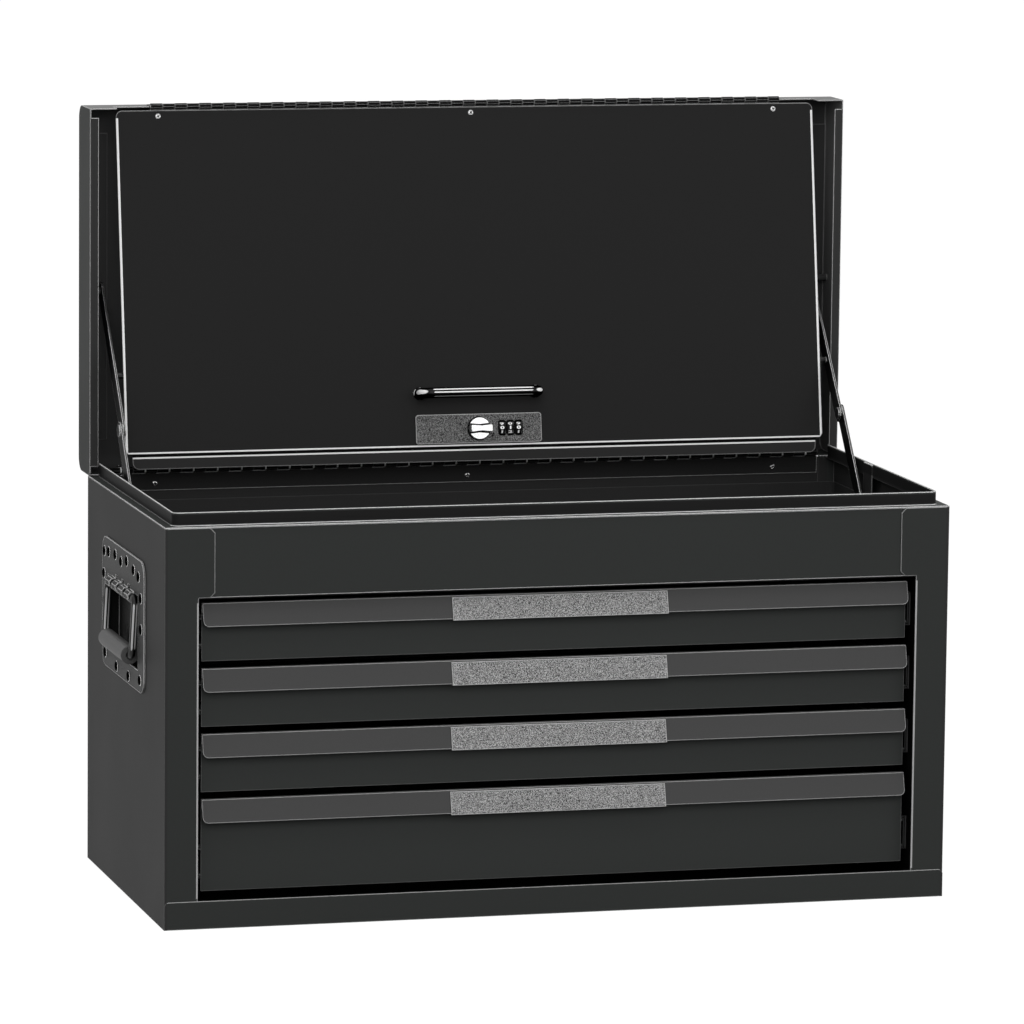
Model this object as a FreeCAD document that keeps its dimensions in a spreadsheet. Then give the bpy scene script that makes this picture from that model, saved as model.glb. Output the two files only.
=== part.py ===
import FreeCAD, Part
import math
import os
import Sketcher

# Machinist tool chest: a sheet-steel cabinet with four drawers, a top compartment under
# a hinged lid, and a front cover that folds away inside the open lid.
# Frame: X to the right, Y to the back, Z up; the origin is the middle of the base.
# The lid is drawn open, the cover folded, the drawers shut and the bail handles hanging.

doc = FreeCAD.newDocument("MachinistToolChest")
sheet = doc.addObject("Spreadsheet::Sheet", "Sizes")

SIZES = {
    # cabinet
    "width": 665, "depth": 312, "height": 330, "steel": 1.0,
    "post_width": 28, "wide_flange": 41.5, "header_height": 58, "rail_height": 23,
    "back_flange": 15, "header_return": 12, "flange_chamfer": 4, "rail_corner": 4,
    "rim_rise": 11, "rim_inset": 8, "rim_corner": 6,
    "compartment_depth": 60, "pan_lip_drop": 22, "pan_corner": 8,
    # lid and its piano hinge
    "lid_thickness": 47, "lid_relief": 2.3, "lid_rest_gap": 0.5, "lid_bend": 12,
    "lid_flange": 7.5, "lid_flange_end": 8, "cap_flange": 24, "cap_flange_end": 25,
    "back_pin_rise": 4, "back_knuckle": 2.6, "back_pin": 1.3,
    "back_leaf": 0.9, "back_leaf_width": 18, "back_hinge_end": 17,
    "knuckle_pitch": 21, "knuckle_gap": 0.2, "bore_clearance": 0.08,
    # folding cover and its piano hinge
    "cover_pin_depth": 13.5, "cover_knuckle": 2.3, "cover_pin": 1.15, "cover_leaf": 0.8,
    "cover_leaf_width": 14, "cover_hinge_end": 30, "cover_post_gap": 2.5,
    "cover_foot_gap": 14.5, "cover_steel": 1.0, "cover_top_gap": 3.3, "cover_corner": 5.5,
    "cover_lip": 12, "cover_lip_step": 1.2, "cover_lip_inset": 6, "cover_tilt": 9,
    "notch_clearance": 1.5,
    # cover handle and combination lock
    "pull_span": 102, "pull_rod": 9, "pull_reach": 18, "pull_bend": 9, "pull_from_edge": 58.5,
    "pull_foot": 11, "pull_foot_height": 2, "plate_width": 111, "plate_height": 25.1,
    "plate_steel": 1.5, "plate_corner": 2.5, "plate_from_edge": 27.7, "knob_diameter": 18.5,
    "knob_reach": 11, "knob_base": 3, "knob_bar": 6, "knob_waist": 4.2, "knob_shaft": 7,
    "turning_gap": 0.3, "shaft_room": 0.5, "case_depth": 9.5, "case_wall": 0.5,
    "case_left": 20, "case_right": 46, "case_height": 26, "wheel_diameter": 12,
    "wheel_width": 5, "wheel_pitch": 7.3, "wheel_first": 20.6, "wheel_proud": 0.8,
    "wheel_side_gap": 1, "window_height": 9.8, "window_gap": 0.2,
    "axle_diameter": 2, "cam_width": 10, "cam_steel": 1.5, "cam_hook": 4.8,
    "cam_tip": 9, "cam_tip_from_panel": 2,
    # lid stays, their pivots counted from the lid's hinge line
    "stay_inset": 16, "stay_steel": 1.8, "stay_gap": 0.3, "stay_width": 15,
    "box_pivot_forward": 119.4, "box_pivot_drop": 34, "knee_forward": 58.9, "knee_rise": 42,
    "lid_pivot_behind": 32.6, "lid_pivot_rise": 150, "rivet": 3, "rivet_head": 5,
    "rest_pin_rise": 84, "rest_pin": 2.5, "rest_pin_gap": 0.6, "rest_pin_reach": 10,
    "ear_width": 22,
    # drawers and slides
    "drawer_gap": 5.8, "small_drawer": 48, "face_side_gap": 5, "face_inset": 13,
    "tray_back_gap": 18, "tray_rim_drop": 10, "tray_lift": 2, "tray_hem": 4, "slide_space": 14,
    "slide_height": 28, "slide_clearance": 0.5, "slide_front_gap": 1,
    "slide_flange": 9, "middle_length": 250, "rack_depth": 293,
    "pull_top": 3.5, "pull_lean": 5.5, "pull_drop": 18.5, "pull_steel": 1.2,
    "pull_return": 3.5, "pull_flange": 8, "pull_corner": 4.5, "grip_width": 183, "grip_thickness": 1,
    "grip_margin": 1.2, "grip_hook": 1.5,
    # side handles
    "side_plate_length": 168, "side_plate_height": 109.5, "side_plate_drop": 94.8,
    "side_plate_back": 3.5, "side_plate_steel": 1.5, "side_plate_corner": 14,
    "recess_length": 124, "recess_height": 64, "recess_drop": 101.2, "recess_depth": 9.5,
    "bail_rod": 6, "bail_length": 110, "bail_drop": 48, "bail_out": 1, "bail_lean": 3,
    "bail_below_edge": 4.7, "bail_bend": 8, "grip_diameter": 15, "grip_length": 92,
    "barrel_wall": 1.2, "barrel_length": 90, "barrel_knuckle": 15, "barrel_slot": 10,
    "barrel_notch": 3,
}


class Size:
    """A length that knows its number and its expression in the spreadsheet."""

    def __init__(self, number, text):
        self.number = float(number)
        self.text = text

    @staticmethod
    def of(value):
        return value if isinstance(value, Size) else Size(value, repr(float(value)))

    def join(self, sign, other, number):
        return Size(number, f"({self.text} {sign} {other.text})")

    def __add__(self, other):
        other = Size.of(other)
        return self.join("+", other, self.number + other.number)

    def __sub__(self, other):
        other = Size.of(other)
        return self.join("-", other, self.number - other.number)

    def __mul__(self, other):
        other = Size.of(other)
        return self.join("*", other, self.number * other.number)

    def __truediv__(self, other):
        other = Size.of(other)
        return self.join("/", other, self.number / other.number)

    def __radd__(self, other):
        return Size.of(other) + self

    def __rsub__(self, other):
        return Size.of(other) - self

    def __rmul__(self, other):
        return Size.of(other) * self

    def __neg__(self):
        return self * -1


def tangent(angle):
    return Size(math.tan(math.radians(angle.number)), f"tan({angle.text} * 1 deg)")


def cosine(angle):
    return Size(math.cos(math.radians(angle.number)), f"cos({angle.text} * 1 deg)")


class Sizes:
    """The driving dimensions by name, as the spreadsheet holds them."""


def fill_sheet():
    sheet.set("A1", "name")
    sheet.set("B1", "millimetres or degrees")
    for row, (name, value) in enumerate(SIZES.items(), start=2):
        sheet.set(f"A{row}", name)
        sheet.set(f"B{row}", str(value))
        sheet.setAlias(f"B{row}", name)
        setattr(Sizes, name, Size(value, f"Sizes.{name}"))
    doc.recompute()


fill_sheet()
s = Sizes

pieces = []


def origin_plane(body, role):
    return next(item for item in body.Origin.OriginFeatures if item.Role == f"{role}_Plane")


class Piece:
    """One sub-part: a PartDesign body built from sketches on its own origin planes."""

    def __init__(self, name):
        self.body = doc.addObject("PartDesign::Body", name)
        self.body.Label = name
        self.count = 0
        pieces.append(self.body)

    def name(self, kind):
        self.count += 1
        return f"{self.body.Label}_{kind}{self.count}"

    def sketch(self, role, offset):
        item = self.body.newObject("Sketcher::SketchObject", self.name("sketch"))
        item.AttachmentSupport = [(origin_plane(self.body, role), "")]
        item.MapMode = "FlatFace"
        item.setExpression(".AttachmentOffset.Base.z", Size.of(offset).text)
        return item

    def add(self, kind, sketch, length):
        feature = self.body.newObject(f"PartDesign::{kind}", self.name(kind.lower()))
        feature.Profile = sketch
        feature.setExpression("Length", length.text)
        self.body.Tip = feature
        return feature

    def extrude(self, outline, axis, start, end, cut=False):
        """Pad or pocket an outline along an axis, from one coordinate to the other."""
        role = {"X": "YZ", "Y": "XZ", "Z": "XY"}[axis]
        start, end = Size.of(start), Size.of(end)
        near, far = (end, start) if axis == "Y" else (start, end)
        seat = far if cut else near
        sketch = self.sketch(role, -seat if axis == "Y" else seat)
        for shape in outline:
            shape(sketch)
        return self.add("Pocket" if cut else "Pad", sketch, end - start)

    def box(self, x, y, z, cut=False):
        return self.extrude([rectangle(x, y)], "Z", *z, cut=cut)

    def edges(self, pick):
        doc.recompute()
        shape = self.body.Tip.Shape
        return [f"Edge{i + 1}" for i, edge in enumerate(shape.Edges) if pick(edge)]

    def round(self, radius, pick, kind="Fillet"):
        names = self.edges(pick)
        before = self.body.Tip
        feature = self.body.newObject(f"PartDesign::{kind}", self.name(kind.lower()))
        feature.Base = (before, names)
        feature.setExpression("Radius" if kind == "Fillet" else "Size", Size.of(radius).text)
        self.body.Tip = feature
        return feature

    def hollow(self, wall, mouth):
        """Shell the piece inward, open at the face that the test picks."""
        doc.recompute()
        before = self.body.Tip
        faces = before.Shape.Faces
        names = [f"Face{i + 1}" for i, face in enumerate(faces) if mouth(face.BoundBox)]
        feature = self.body.newObject("PartDesign::Thickness", self.name("shell"))
        feature.Base = (before, names)
        feature.setExpression("Value", Size.of(wall).text)
        feature.Reversed = True
        self.body.Tip = feature
        return feature

    def repeat(self, feature, role_axis, spacing, count):
        """Repeat a feature along one of the origin axes."""
        pattern = self.body.newObject("PartDesign::LinearPattern", self.name("pattern"))
        pattern.Originals = [feature]
        axis = next(i for i in self.body.Origin.OriginFeatures if i.Role == f"{role_axis}_Axis")
        pattern.Direction = (axis, [""])
        pattern.Occurrences = count
        pattern.setExpression("Length", (spacing * (count - 1)).text)
        self.body.Tip = pattern
        return pattern

    def place(self, x, y, z, axis, angle):
        """Stand the piece's own origin at a point, turned about an axis by degrees."""
        point = FreeCAD.Vector(*[Size.of(value).number for value in (x, y, z)])
        turn = FreeCAD.Rotation(FreeCAD.Vector(*axis), Size.of(angle).number)
        self.body.Placement = FreeCAD.Placement(point, turn)


def fix_point(sketch, edge, end, x, y):
    """Hold one sketch point at its coordinates from the origin."""
    for kind, value in (("DistanceX", Size.of(x)), ("DistanceY", Size.of(y))):
        index = sketch.addConstraint(Sketcher.Constraint(kind, -1, 1, edge, end, value.number))
        sketch.setExpression(f"Constraints[{index}]", value.text)


def polygon(points):
    """A closed outline of straight lines through the points."""
    corners = [(Size.of(a), Size.of(b)) for a, b in points]

    def draw(sketch):
        first = sketch.GeometryCount
        count = len(corners)
        ends = [FreeCAD.Vector(a.number, b.number, 0) for a, b in corners]
        for i in range(count):
            sketch.addGeometry(Part.LineSegment(ends[i], ends[(i + 1) % count]), False)
        for i in range(count):
            after = first + (i + 1) % count
            sketch.addConstraint(Sketcher.Constraint("Coincident", first + i, 2, after, 1))
            fix_point(sketch, first + i, 1, *corners[i])

    return draw


def rectangle(across, up):
    (left, right), (low, high) = across, up
    return polygon([(left, low), (right, low), (right, high), (left, high)])


def circle(x, y, diameter):
    def draw(sketch):
        centre = FreeCAD.Vector(Size.of(x).number, Size.of(y).number, 0)
        radius = Size.of(diameter) / 2
        ring = Part.Circle(centre, FreeCAD.Vector(0, 0, 1), radius.number)
        index = sketch.addGeometry(ring, False)
        fix_point(sketch, index, 3, x, y)
        size = sketch.addConstraint(Sketcher.Constraint("Radius", index, radius.number))
        sketch.setExpression(f"Constraints[{size}]", radius.text)

    return draw


def facets(x, y, diameter, sides, first=1):
    """A regular polygon with its flats a diameter apart, for small round work."""
    turn = math.pi / sides
    corner = Size.of(diameter) / 2 / math.cos(turn)
    angles = [turn * (2 * i + first) for i in range(sides)]
    return polygon([(x + corner * math.cos(a), y + corner * math.sin(a)) for a in angles])


def bent(corners, radius, steps=4, closed=False):
    """Points of a path whose square corners are bent to a radius."""
    count = len(corners)
    points = []
    for i, here in enumerate(corners):
        if not closed and i in (0, count - 1):
            points.append(here)
            continue
        way_in = direction(corners[i - 1], here)
        way_out = direction(here, corners[(i + 1) % count])
        centre = [here[k] - radius * way_in[k] + radius * way_out[k] for k in (0, 1)]
        for step in range(steps + 1):
            angle = math.pi / 2 * step / steps
            points.append(tuple(
                centre[k] + radius * (way_in[k] * math.sin(angle) - way_out[k] * math.cos(angle))
                for k in (0, 1)))
    return points


def direction(start, end):
    """Unit step along an axis of the sketch from one point to another."""
    run = [(end[k] - start[k]).number for k in (0, 1)]
    length = math.hypot(*run)
    return [round(value / length) for value in run]


def sweep(piece, path_plane, points, ring_plane, ring, closed=False):
    """Rod of a given section along a path of points; a plane is its role and offset."""
    path = piece.sketch(*path_plane)
    corners = [FreeCAD.Vector(a.number, b.number, 0) for a, b in points]
    count = len(corners)
    last = count if closed else count - 1
    for i in range(last):
        path.addGeometry(Part.LineSegment(corners[i], corners[(i + 1) % count]), False)
    for i in range(last):
        fix_point(path, i, 1, *points[i])
        if closed or i + 1 < last:
            after = (i + 1) % count
            path.addConstraint(Sketcher.Constraint("Coincident", i, 2, after, 1))
    if not closed:
        fix_point(path, last - 1, 2, *points[-1])
    section = piece.sketch(*ring_plane)
    ring(section)
    pipe = piece.body.newObject("PartDesign::AdditivePipe", piece.name("pipe"))
    pipe.Profile = section
    pipe.Spine = (path, [f"Edge{i + 1}" for i in range(last)])
    pipe.Transition = "Right corner"
    piece.body.Tip = pipe


def across(side, inner, outer):
    """The span in X between two distances from the middle, on one side."""
    return (inner, outer) if side > 0 else (-outer, -inner)


def upright(edge):
    """Whether an edge runs along Z."""
    box = edge.BoundBox
    return box.ZLength > 0.2 and box.XLength < 1e-6 and box.YLength < 1e-6


def near(value, target, slack=0.01):
    return abs(value - Size.of(target).number) < slack


# ---------------------------------------------------------------- shared places
half = s.width / 2
front = -(s.depth / 2)
back = s.depth / 2
post_face = front + s.steel
top = s.height
opening_half = half - s.post_width
opening_top = top - s.header_height
opening_bottom = s.rail_height
shell_top = top - s.steel
pan_floor = top - s.compartment_depth
rack_front = post_face + s.steel
rack_back = rack_front + s.rack_depth
back_pin_y = back - s.steel - s.back_knuckle
back_pin_z = top + s.back_pin_rise
lid_rim = back_pin_y + (top + s.lid_rest_gap - back_pin_z)
lid_skin = lid_rim + s.lid_thickness
lid_bottom = back_pin_z - (back - back_pin_y)
lid_top = back_pin_z - (front - back_pin_y)
cover_pin_y = lid_rim + s.cover_pin_depth
cover_pin_z = lid_top
shut_cover_pin_z = back_pin_z + (cover_pin_y - back_pin_y)
cover_length = shut_cover_pin_z - opening_bottom - s.cover_foot_gap
cover_half = opening_half - s.cover_post_gap + s.cover_lip_inset
pull_line = cover_length - s.pull_from_edge
lock_line = cover_length - s.plate_from_edge
stay_plane = half - s.stay_inset
box_pivot = (back_pin_y - s.box_pivot_forward, back_pin_z - s.box_pivot_drop)
knee = (back_pin_y - s.knee_forward, back_pin_z + s.knee_rise)
lid_pivot = (back_pin_y + s.lid_pivot_behind, back_pin_z + s.lid_pivot_rise)
recess_middle = top - s.recess_drop
tall_drawer = (opening_top - opening_bottom - s.small_drawer * 3 - s.drawer_gap * 5)
face_front = front + s.face_inset
face_back = face_front + s.steel
SIDES = {"left": -1, "right": 1}
ALONG_X = (1, 0, 0)
ALONG_Y = (0, 1, 0)
BAIL_SIDES = 8


def rivet_stud(piece, side, pivot, link_face, seat):
    """Stud and head of the rivet on which a lid stay swings, out of a wall or an ear."""
    under_head = link_face - s.bore_clearance
    piece.extrude([circle(*pivot, s.rivet * 2)], "X", *across(side, under_head, seat))
    head = across(side, under_head - s.steel, under_head)
    piece.extrude([facets(*pivot, s.rivet_head * 2, 12)], "X", *head)


# ---------------------------------------------------------------- cabinet
def bottom_pan():
    piece = Piece("bottom_pan")
    inner = half - s.steel
    piece.box((-inner, inner), (front, back - s.steel), (0, s.steel))
    piece.box((-half, half), (front, front + s.steel), (0, s.rail_height))

    def top_end(edge):
        box = edge.BoundBox
        return near(box.ZMin, s.rail_height) and near(box.ZMax, s.rail_height) and near(
            abs(box.XMin), half) and near(box.XMin, box.XMax)

    piece.round(s.rail_corner, top_end)


def side_panel(name, side):
    """Side wall, front flange beside the drawers and back flange, bent from one sheet."""
    piece = Piece(f"side_panel_{name}")
    piece.box(across(side, half - s.steel, half), (post_face, back - s.steel), (0, shell_top))
    piece.box(across(side, half - s.wide_flange, half - s.steel),
              (post_face, post_face + s.steel), (s.steel, shell_top))
    back_face = back - s.steel
    piece.box(across(side, half - s.back_flange - s.steel, half - s.steel),
              (back_face - s.steel, back_face), (s.steel, shell_top))
    piece.box(across(side, half - s.wide_flange, opening_half),
              (post_face, post_face + s.steel), (0, opening_top), cut=True)
    edge_x = side * (half - s.wide_flange).number

    def flange_corner(edge):
        box = edge.BoundBox
        return box.YLength > 0.5 and near(box.XMin, edge_x) and near(box.XMax, edge_x) and (
            box.ZLength < 0.1)

    piece.round(s.flange_chamfer, flange_corner, "Chamfer")
    half_long, half_high = s.recess_length / 2, s.recess_height / 2
    piece.box(across(side, half - s.steel, half),
              (s.side_plate_back - half_long, s.side_plate_back + half_long),
              (recess_middle - half_high, recess_middle + half_high), cut=True)


def back_panel():
    piece = Piece("back_panel")
    piece.box((-half, half), (back - s.steel, back), (0, top))


def front_header():
    piece = Piece("front_header")
    face = post_face + s.steel
    low, high = opening_top, shell_top
    outline = polygon([
        (face, low), (face + s.header_return, low), (face + s.header_return, low + s.steel),
        (face + s.steel, low + s.steel), (face + s.steel, high - s.steel),
        (face + s.rim_inset - s.steel, high - s.steel), (face + s.rim_inset - s.steel, high),
        (face, high)])
    piece.extrude([outline], "X", -(half - s.steel), half - s.steel)


def top_rim():
    """Shoulder and raised rim round the front and sides, with an ear for each lid stay."""
    piece = Piece("top_rim")
    outer, inner = half - s.rim_inset, half - s.rim_inset - s.steel
    step_front = post_face + s.rim_inset - s.steel
    rim_front = step_front + s.steel
    ring_back = back - s.steel
    shoulder = polygon([
        (-half, post_face), (half, post_face), (half, ring_back), (inner, ring_back),
        (inner, rim_front), (-inner, rim_front), (-inner, ring_back), (-half, ring_back)])
    piece.extrude([shoulder], "Z", shell_top, top)
    rise_back = lid_rim - s.lid_rest_gap
    rise = polygon([
        (-outer, step_front), (outer, step_front), (outer, rise_back), (inner, rise_back),
        (inner, rim_front), (-inner, rim_front), (-inner, rise_back), (-outer, rise_back)])
    piece.extrude([rise], "Z", top, top + s.rim_rise)

    for x, y, radius in ((inner, rim_front, s.rim_corner - s.steel),
                         (outer, step_front, s.rim_corner)):
        piece.round(radius, lambda edge: upright(edge) and near(
            abs(edge.BoundBox.XMin), x) and near(edge.BoundBox.YMin, y))
    pivot_y, pivot_z = box_pivot
    ear_y = (pivot_y - s.ear_width / 2, pivot_y + s.ear_width / 2)
    for side in SIDES.values():
        ear_x = across(side, inner - s.steel, inner)
        piece.box(ear_x, ear_y, (pivot_z - s.ear_width / 2, top + s.rim_rise - s.steel))
        rivet_stud(piece, side, box_pivot, stay_plane + s.stay_gap / 2, inner - s.steel)


def compartment_pan():
    """Deep floor of the top compartment, with upright walls against the shell."""
    piece = Piece("compartment_pan")
    wide = half - s.steel
    y_front, y_back = post_face + s.steel + s.header_return, back - s.steel * 2
    z = (pan_floor - s.steel, top - s.pan_lip_drop)
    piece.box((-wide, wide), (y_front, y_back), z)
    piece.round(s.pan_corner, upright)
    piece.hollow(s.steel, lambda box: near(box.ZMin, z[1]))


# ---------------------------------------------------------------- slides
def channel(side, web_inner, web_outer, reach, up, half_height):
    """Outline in XZ of a C channel whose flanges run from its web to the reach."""
    web_far, web_near = (web_outer, web_inner)
    inward = reach.number < web_inner.number
    base, face = (web_far, web_near) if inward else (web_near, web_far)
    inner = half_height - s.steel
    points = [(base, up - half_height), (reach, up - half_height), (reach, up - inner),
              (face, up - inner), (face, up + inner), (reach, up + inner),
              (reach, up + half_height), (base, up + half_height)]
    return polygon([(x * side, z) for x, z in points])


def drawer_levels():
    """Bottom and top of each drawer front, counted from the top of the opening."""
    levels = []
    ceiling = opening_top
    for height in (s.small_drawer, s.small_drawer, s.small_drawer, tall_drawer):
        high = ceiling - s.drawer_gap
        levels.append((high - height, high))
        ceiling = high - height
    return levels


def slide_line(level):
    """Height of the middle of a drawer's slides."""
    return level[0] + s.small_drawer / 2


def slide_rack(name, side):
    """Upright liner behind the post, carrying one fixed slide member for each drawer."""
    piece = Piece(f"slide_rack_{name}")
    face, wall = opening_half, half - s.steel
    z = (s.steel, pan_floor - s.steel)
    outline = [(face, rack_front), (wall, rack_front), (wall, rack_front + s.steel),
               (face + s.steel, rack_front + s.steel), (face + s.steel, rack_back - s.steel),
               (wall, rack_back - s.steel), (wall, rack_back), (face, rack_back)]
    piece.extrude([polygon([(x * side, y) for x, y in outline])], "Z", *z)
    for level in drawer_levels():
        shape = channel(side, face - s.steel, face, face - s.steel - s.slide_flange,
                        slide_line(level), s.slide_height / 2)
        piece.extrude([shape], "Y", face_back + s.slide_front_gap, rack_back)


def slide_middle(number, level, name, side):
    """Travelling member that doubles the reach of the drawer."""
    piece = Piece(f"drawer_{number}_slide_{name}")
    web = opening_half - s.steel - s.slide_clearance
    half_height = s.slide_height / 2 - s.steel - s.slide_clearance
    shape = channel(side, web - s.steel, web, web - s.steel - s.slide_flange,
                    slide_line(level), half_height)
    start = face_back + s.slide_front_gap
    piece.extrude([shape], "Y", start, start + s.middle_length)


# ---------------------------------------------------------------- drawers
def drawer_tray(number, level):
    """Drawer front and hemmed tray with its slide members welded to the sides."""
    piece = Piece(f"drawer_{number}_tray")
    low, high = level
    wide = opening_half - s.face_side_gap
    tray = opening_half - s.slide_space
    tray_back = back - s.tray_back_gap
    floor = low + s.tray_lift
    wall_top = high - s.tray_rim_drop
    piece.box((-tray, tray), (face_front, tray_back), (floor, wall_top))
    inner_x, inner_back = tray - s.steel, tray_back - s.steel
    piece.box((s.tray_hem - inner_x, inner_x - s.tray_hem),
              (face_back, inner_back - s.tray_hem), (floor + s.steel, wall_top), cut=True)
    piece.box((-inner_x, inner_x), (face_back, inner_back),
              (floor + s.steel, wall_top - s.steel), cut=True)
    piece.box((-wide, wide), (face_front, face_back), (low, high))
    for side in SIDES.values():
        reach = opening_half - s.steel * 3 - s.slide_clearance
        half_height = s.slide_height / 2 - s.steel * 2 - s.slide_clearance * 2
        shape = channel(side, tray, tray + s.steel, reach, slide_line(level), half_height)
        piece.extrude([shape], "Y", face_back, tray_back)


def drawer_pull(number, level):
    """Full-width hooked pull: it leans out, then turns back to make the finger edge."""
    piece = Piece(f"drawer_{number}_pull")
    high = level[1]
    face = face_front
    lip = face - s.pull_top
    toe = lip - s.pull_lean
    low = high - s.pull_drop
    t = s.pull_steel
    outline = polygon([
        (face, high), (lip, high), (toe, low), (toe + s.pull_return, low),
        (toe + s.pull_return, low + t), (toe + t, low + t), (lip + t * 0.8, high - t),
        (face - t, high - t), (face - t, high - s.pull_flange), (face, high - s.pull_flange)])
    wide = opening_half - s.face_side_gap
    piece.extrude([outline], "X", -wide, wide)
    for side in SIDES.values():
        piece.extrude([corner_waste(side, wide, low, s.pull_corner)], "Y", toe, face_front,
                      cut=True)


def corner_waste(side, x, z, radius):
    """What a rounded lower corner leaves off a face in XZ, its arc in four chords."""
    points = bent([(x, z + radius), (x, z), (x - radius, z)], radius)
    return polygon([(a * side, b) for a, b in points[1:-1]] + [(x * side, z)])


def grip_insert(number, level):
    """Knurled strip that follows the lean of the pull and hooks under its toe."""
    piece = Piece(f"drawer_{number}_grip_insert")
    high = level[1]
    lip = face_front - s.pull_top
    toe = lip - s.pull_lean
    low = high - s.pull_drop
    t = s.grip_thickness
    share = s.grip_margin / s.pull_drop
    start = (lip - s.pull_lean * share, high - s.grip_margin)
    outline = polygon([
        start, (start[0] - t, start[1]), (toe - t, low - t), (toe + s.grip_hook, low - t),
        (toe + s.grip_hook, low), (toe, low)])
    piece.extrude([outline], "X", -(s.grip_width / 2), s.grip_width / 2)


# ---------------------------------------------------------------- lid
def lid_shell():
    """Open lid: a sheet bent round the long edges, with end caps flanged fore and aft."""
    piece = Piece("lid_shell")
    piece.box((-half, half), (lid_rim, lid_skin), (lid_bottom, lid_top))

    def long_skin_edge(edge):
        box = edge.BoundBox
        return near(box.YMin, lid_skin) and near(box.YMax, lid_skin) and box.XLength > 1

    piece.round(s.lid_bend, long_skin_edge)
    piece.hollow(s.steel, lambda box: near(box.YMax, lid_rim))
    flange_z = (lid_bottom + s.lid_flange_end, lid_top - s.lid_flange_end)
    cap_z = (lid_bottom + s.cap_flange_end, lid_top - s.cap_flange_end)
    for side in SIDES.values():
        piece.box(across(side, half - s.lid_flange, half - s.steel / 2),
                  (lid_rim, lid_rim + s.steel), flange_z)
        piece.box(across(side, half - s.cap_flange, half - s.steel / 2),
                  (lid_skin - s.steel * 2, lid_skin - s.steel / 2), cap_z)
    back_half = half - s.back_hinge_end + s.notch_clearance
    piece.box((-back_half, back_half), (lid_rim, back + s.lid_rest_gap),
              (lid_bottom, lid_bottom + s.steel), cut=True)
    piece.box((-half, half), (lid_rim, lid_rim + s.lid_relief),
              (lid_bottom, lid_bottom + s.lid_relief), cut=True)
    notch_half = cover_half + s.notch_clearance
    piece.box((-notch_half, notch_half),
              (lid_rim, cover_pin_y + s.cover_knuckle + s.lid_rest_gap),
              (lid_top - s.steel, lid_top), cut=True)
    link_face = stay_plane - s.stay_gap / 2 - s.stay_steel
    for side in SIDES.values():
        rivet_stud(piece, side, lid_pivot, link_face, half - s.steel / 2)


# ---------------------------------------------------------------- piano hinges
def hinge_leaf(name, length, knuckle, pin, leaf, width, phase, along, flat):
    """One leaf of a piano hinge about the local X axis: strip, barrel and knuckle slots.

    The strip runs from the axis along +Y or -Z and lies on the outside of the barrel.
    """
    piece = Piece(name)
    end = length / 2
    if along == "Y":
        strip = rectangle((0, width), (flat, flat + leaf))
    else:
        strip = rectangle((flat, flat + leaf), (-width, 0))
    piece.extrude([strip], "X", -end, end)
    flat_side = 0 if along == "Y" else 1
    piece.extrude([facets(0, 0, knuckle * 2, 6, flat_side)], "X", -end, end)
    bore = facets(0, 0, (pin + s.bore_clearance) * 2, 6, flat_side)
    piece.extrude([bore], "X", -end, end, cut=True)
    reach = knuckle / math.cos(math.pi / 6) + s.knuckle_gap
    half_pitch = s.knuckle_pitch / 2
    start = -end + half_pitch * phase - s.knuckle_gap / 2
    clear = rectangle((-reach, reach), (-reach, reach))
    first = piece.extrude([clear], "X", start, start + half_pitch + s.knuckle_gap, cut=True)
    left = length - half_pitch * phase - s.knuckle_gap
    piece.repeat(first, "X", s.knuckle_pitch,
                 math.ceil(left.number / s.knuckle_pitch.number))
    return piece


def hinge_pin(name, length, pin):
    piece = Piece(name)
    piece.extrude([circle(0, 0, pin * 2)], "X", -(length / 2), length / 2)
    return piece


def back_hinge():
    length = s.width - s.back_hinge_end * 2
    size = (length, s.back_knuckle, s.back_pin, s.back_leaf, s.back_leaf_width)
    flat = s.back_knuckle - s.back_leaf
    line = (0, back_pin_y, back_pin_z, ALONG_X, 0)
    hinge_leaf("back_hinge_body_leaf", *size, 0, "Z", flat).place(*line)
    hinge_leaf("back_hinge_lid_leaf", *size, 1, "Y", -s.back_knuckle).place(*line)
    hinge_pin("back_hinge_pin", length, s.back_pin).place(*line)


def cover_hinge():
    length = (cover_half - s.cover_hinge_end) * 2
    size = (length, s.cover_knuckle, s.cover_pin, s.cover_leaf, s.cover_leaf_width)
    line = (0, cover_pin_y, cover_pin_z, ALONG_X, 0)
    hinge_leaf("cover_hinge_lid_leaf", *size, 0, "Y", Size.of(0)).place(*line)
    on_cover(hinge_leaf("cover_hinge_cover_leaf", *size, 1, "Z", s.cover_steel / 2))
    hinge_pin("cover_hinge_pin", length, s.cover_pin).place(*line)


# ---------------------------------------------------------------- folding cover
# Cover pieces are drawn hanging straight down from the hinge line at their own origin,
# with the outer face towards -Y, and then turned by the tilt at which the cover rests.
def on_cover(piece):
    piece.place(0, cover_pin_y, cover_pin_z, ALONG_X, -s.cover_tilt)


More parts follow.
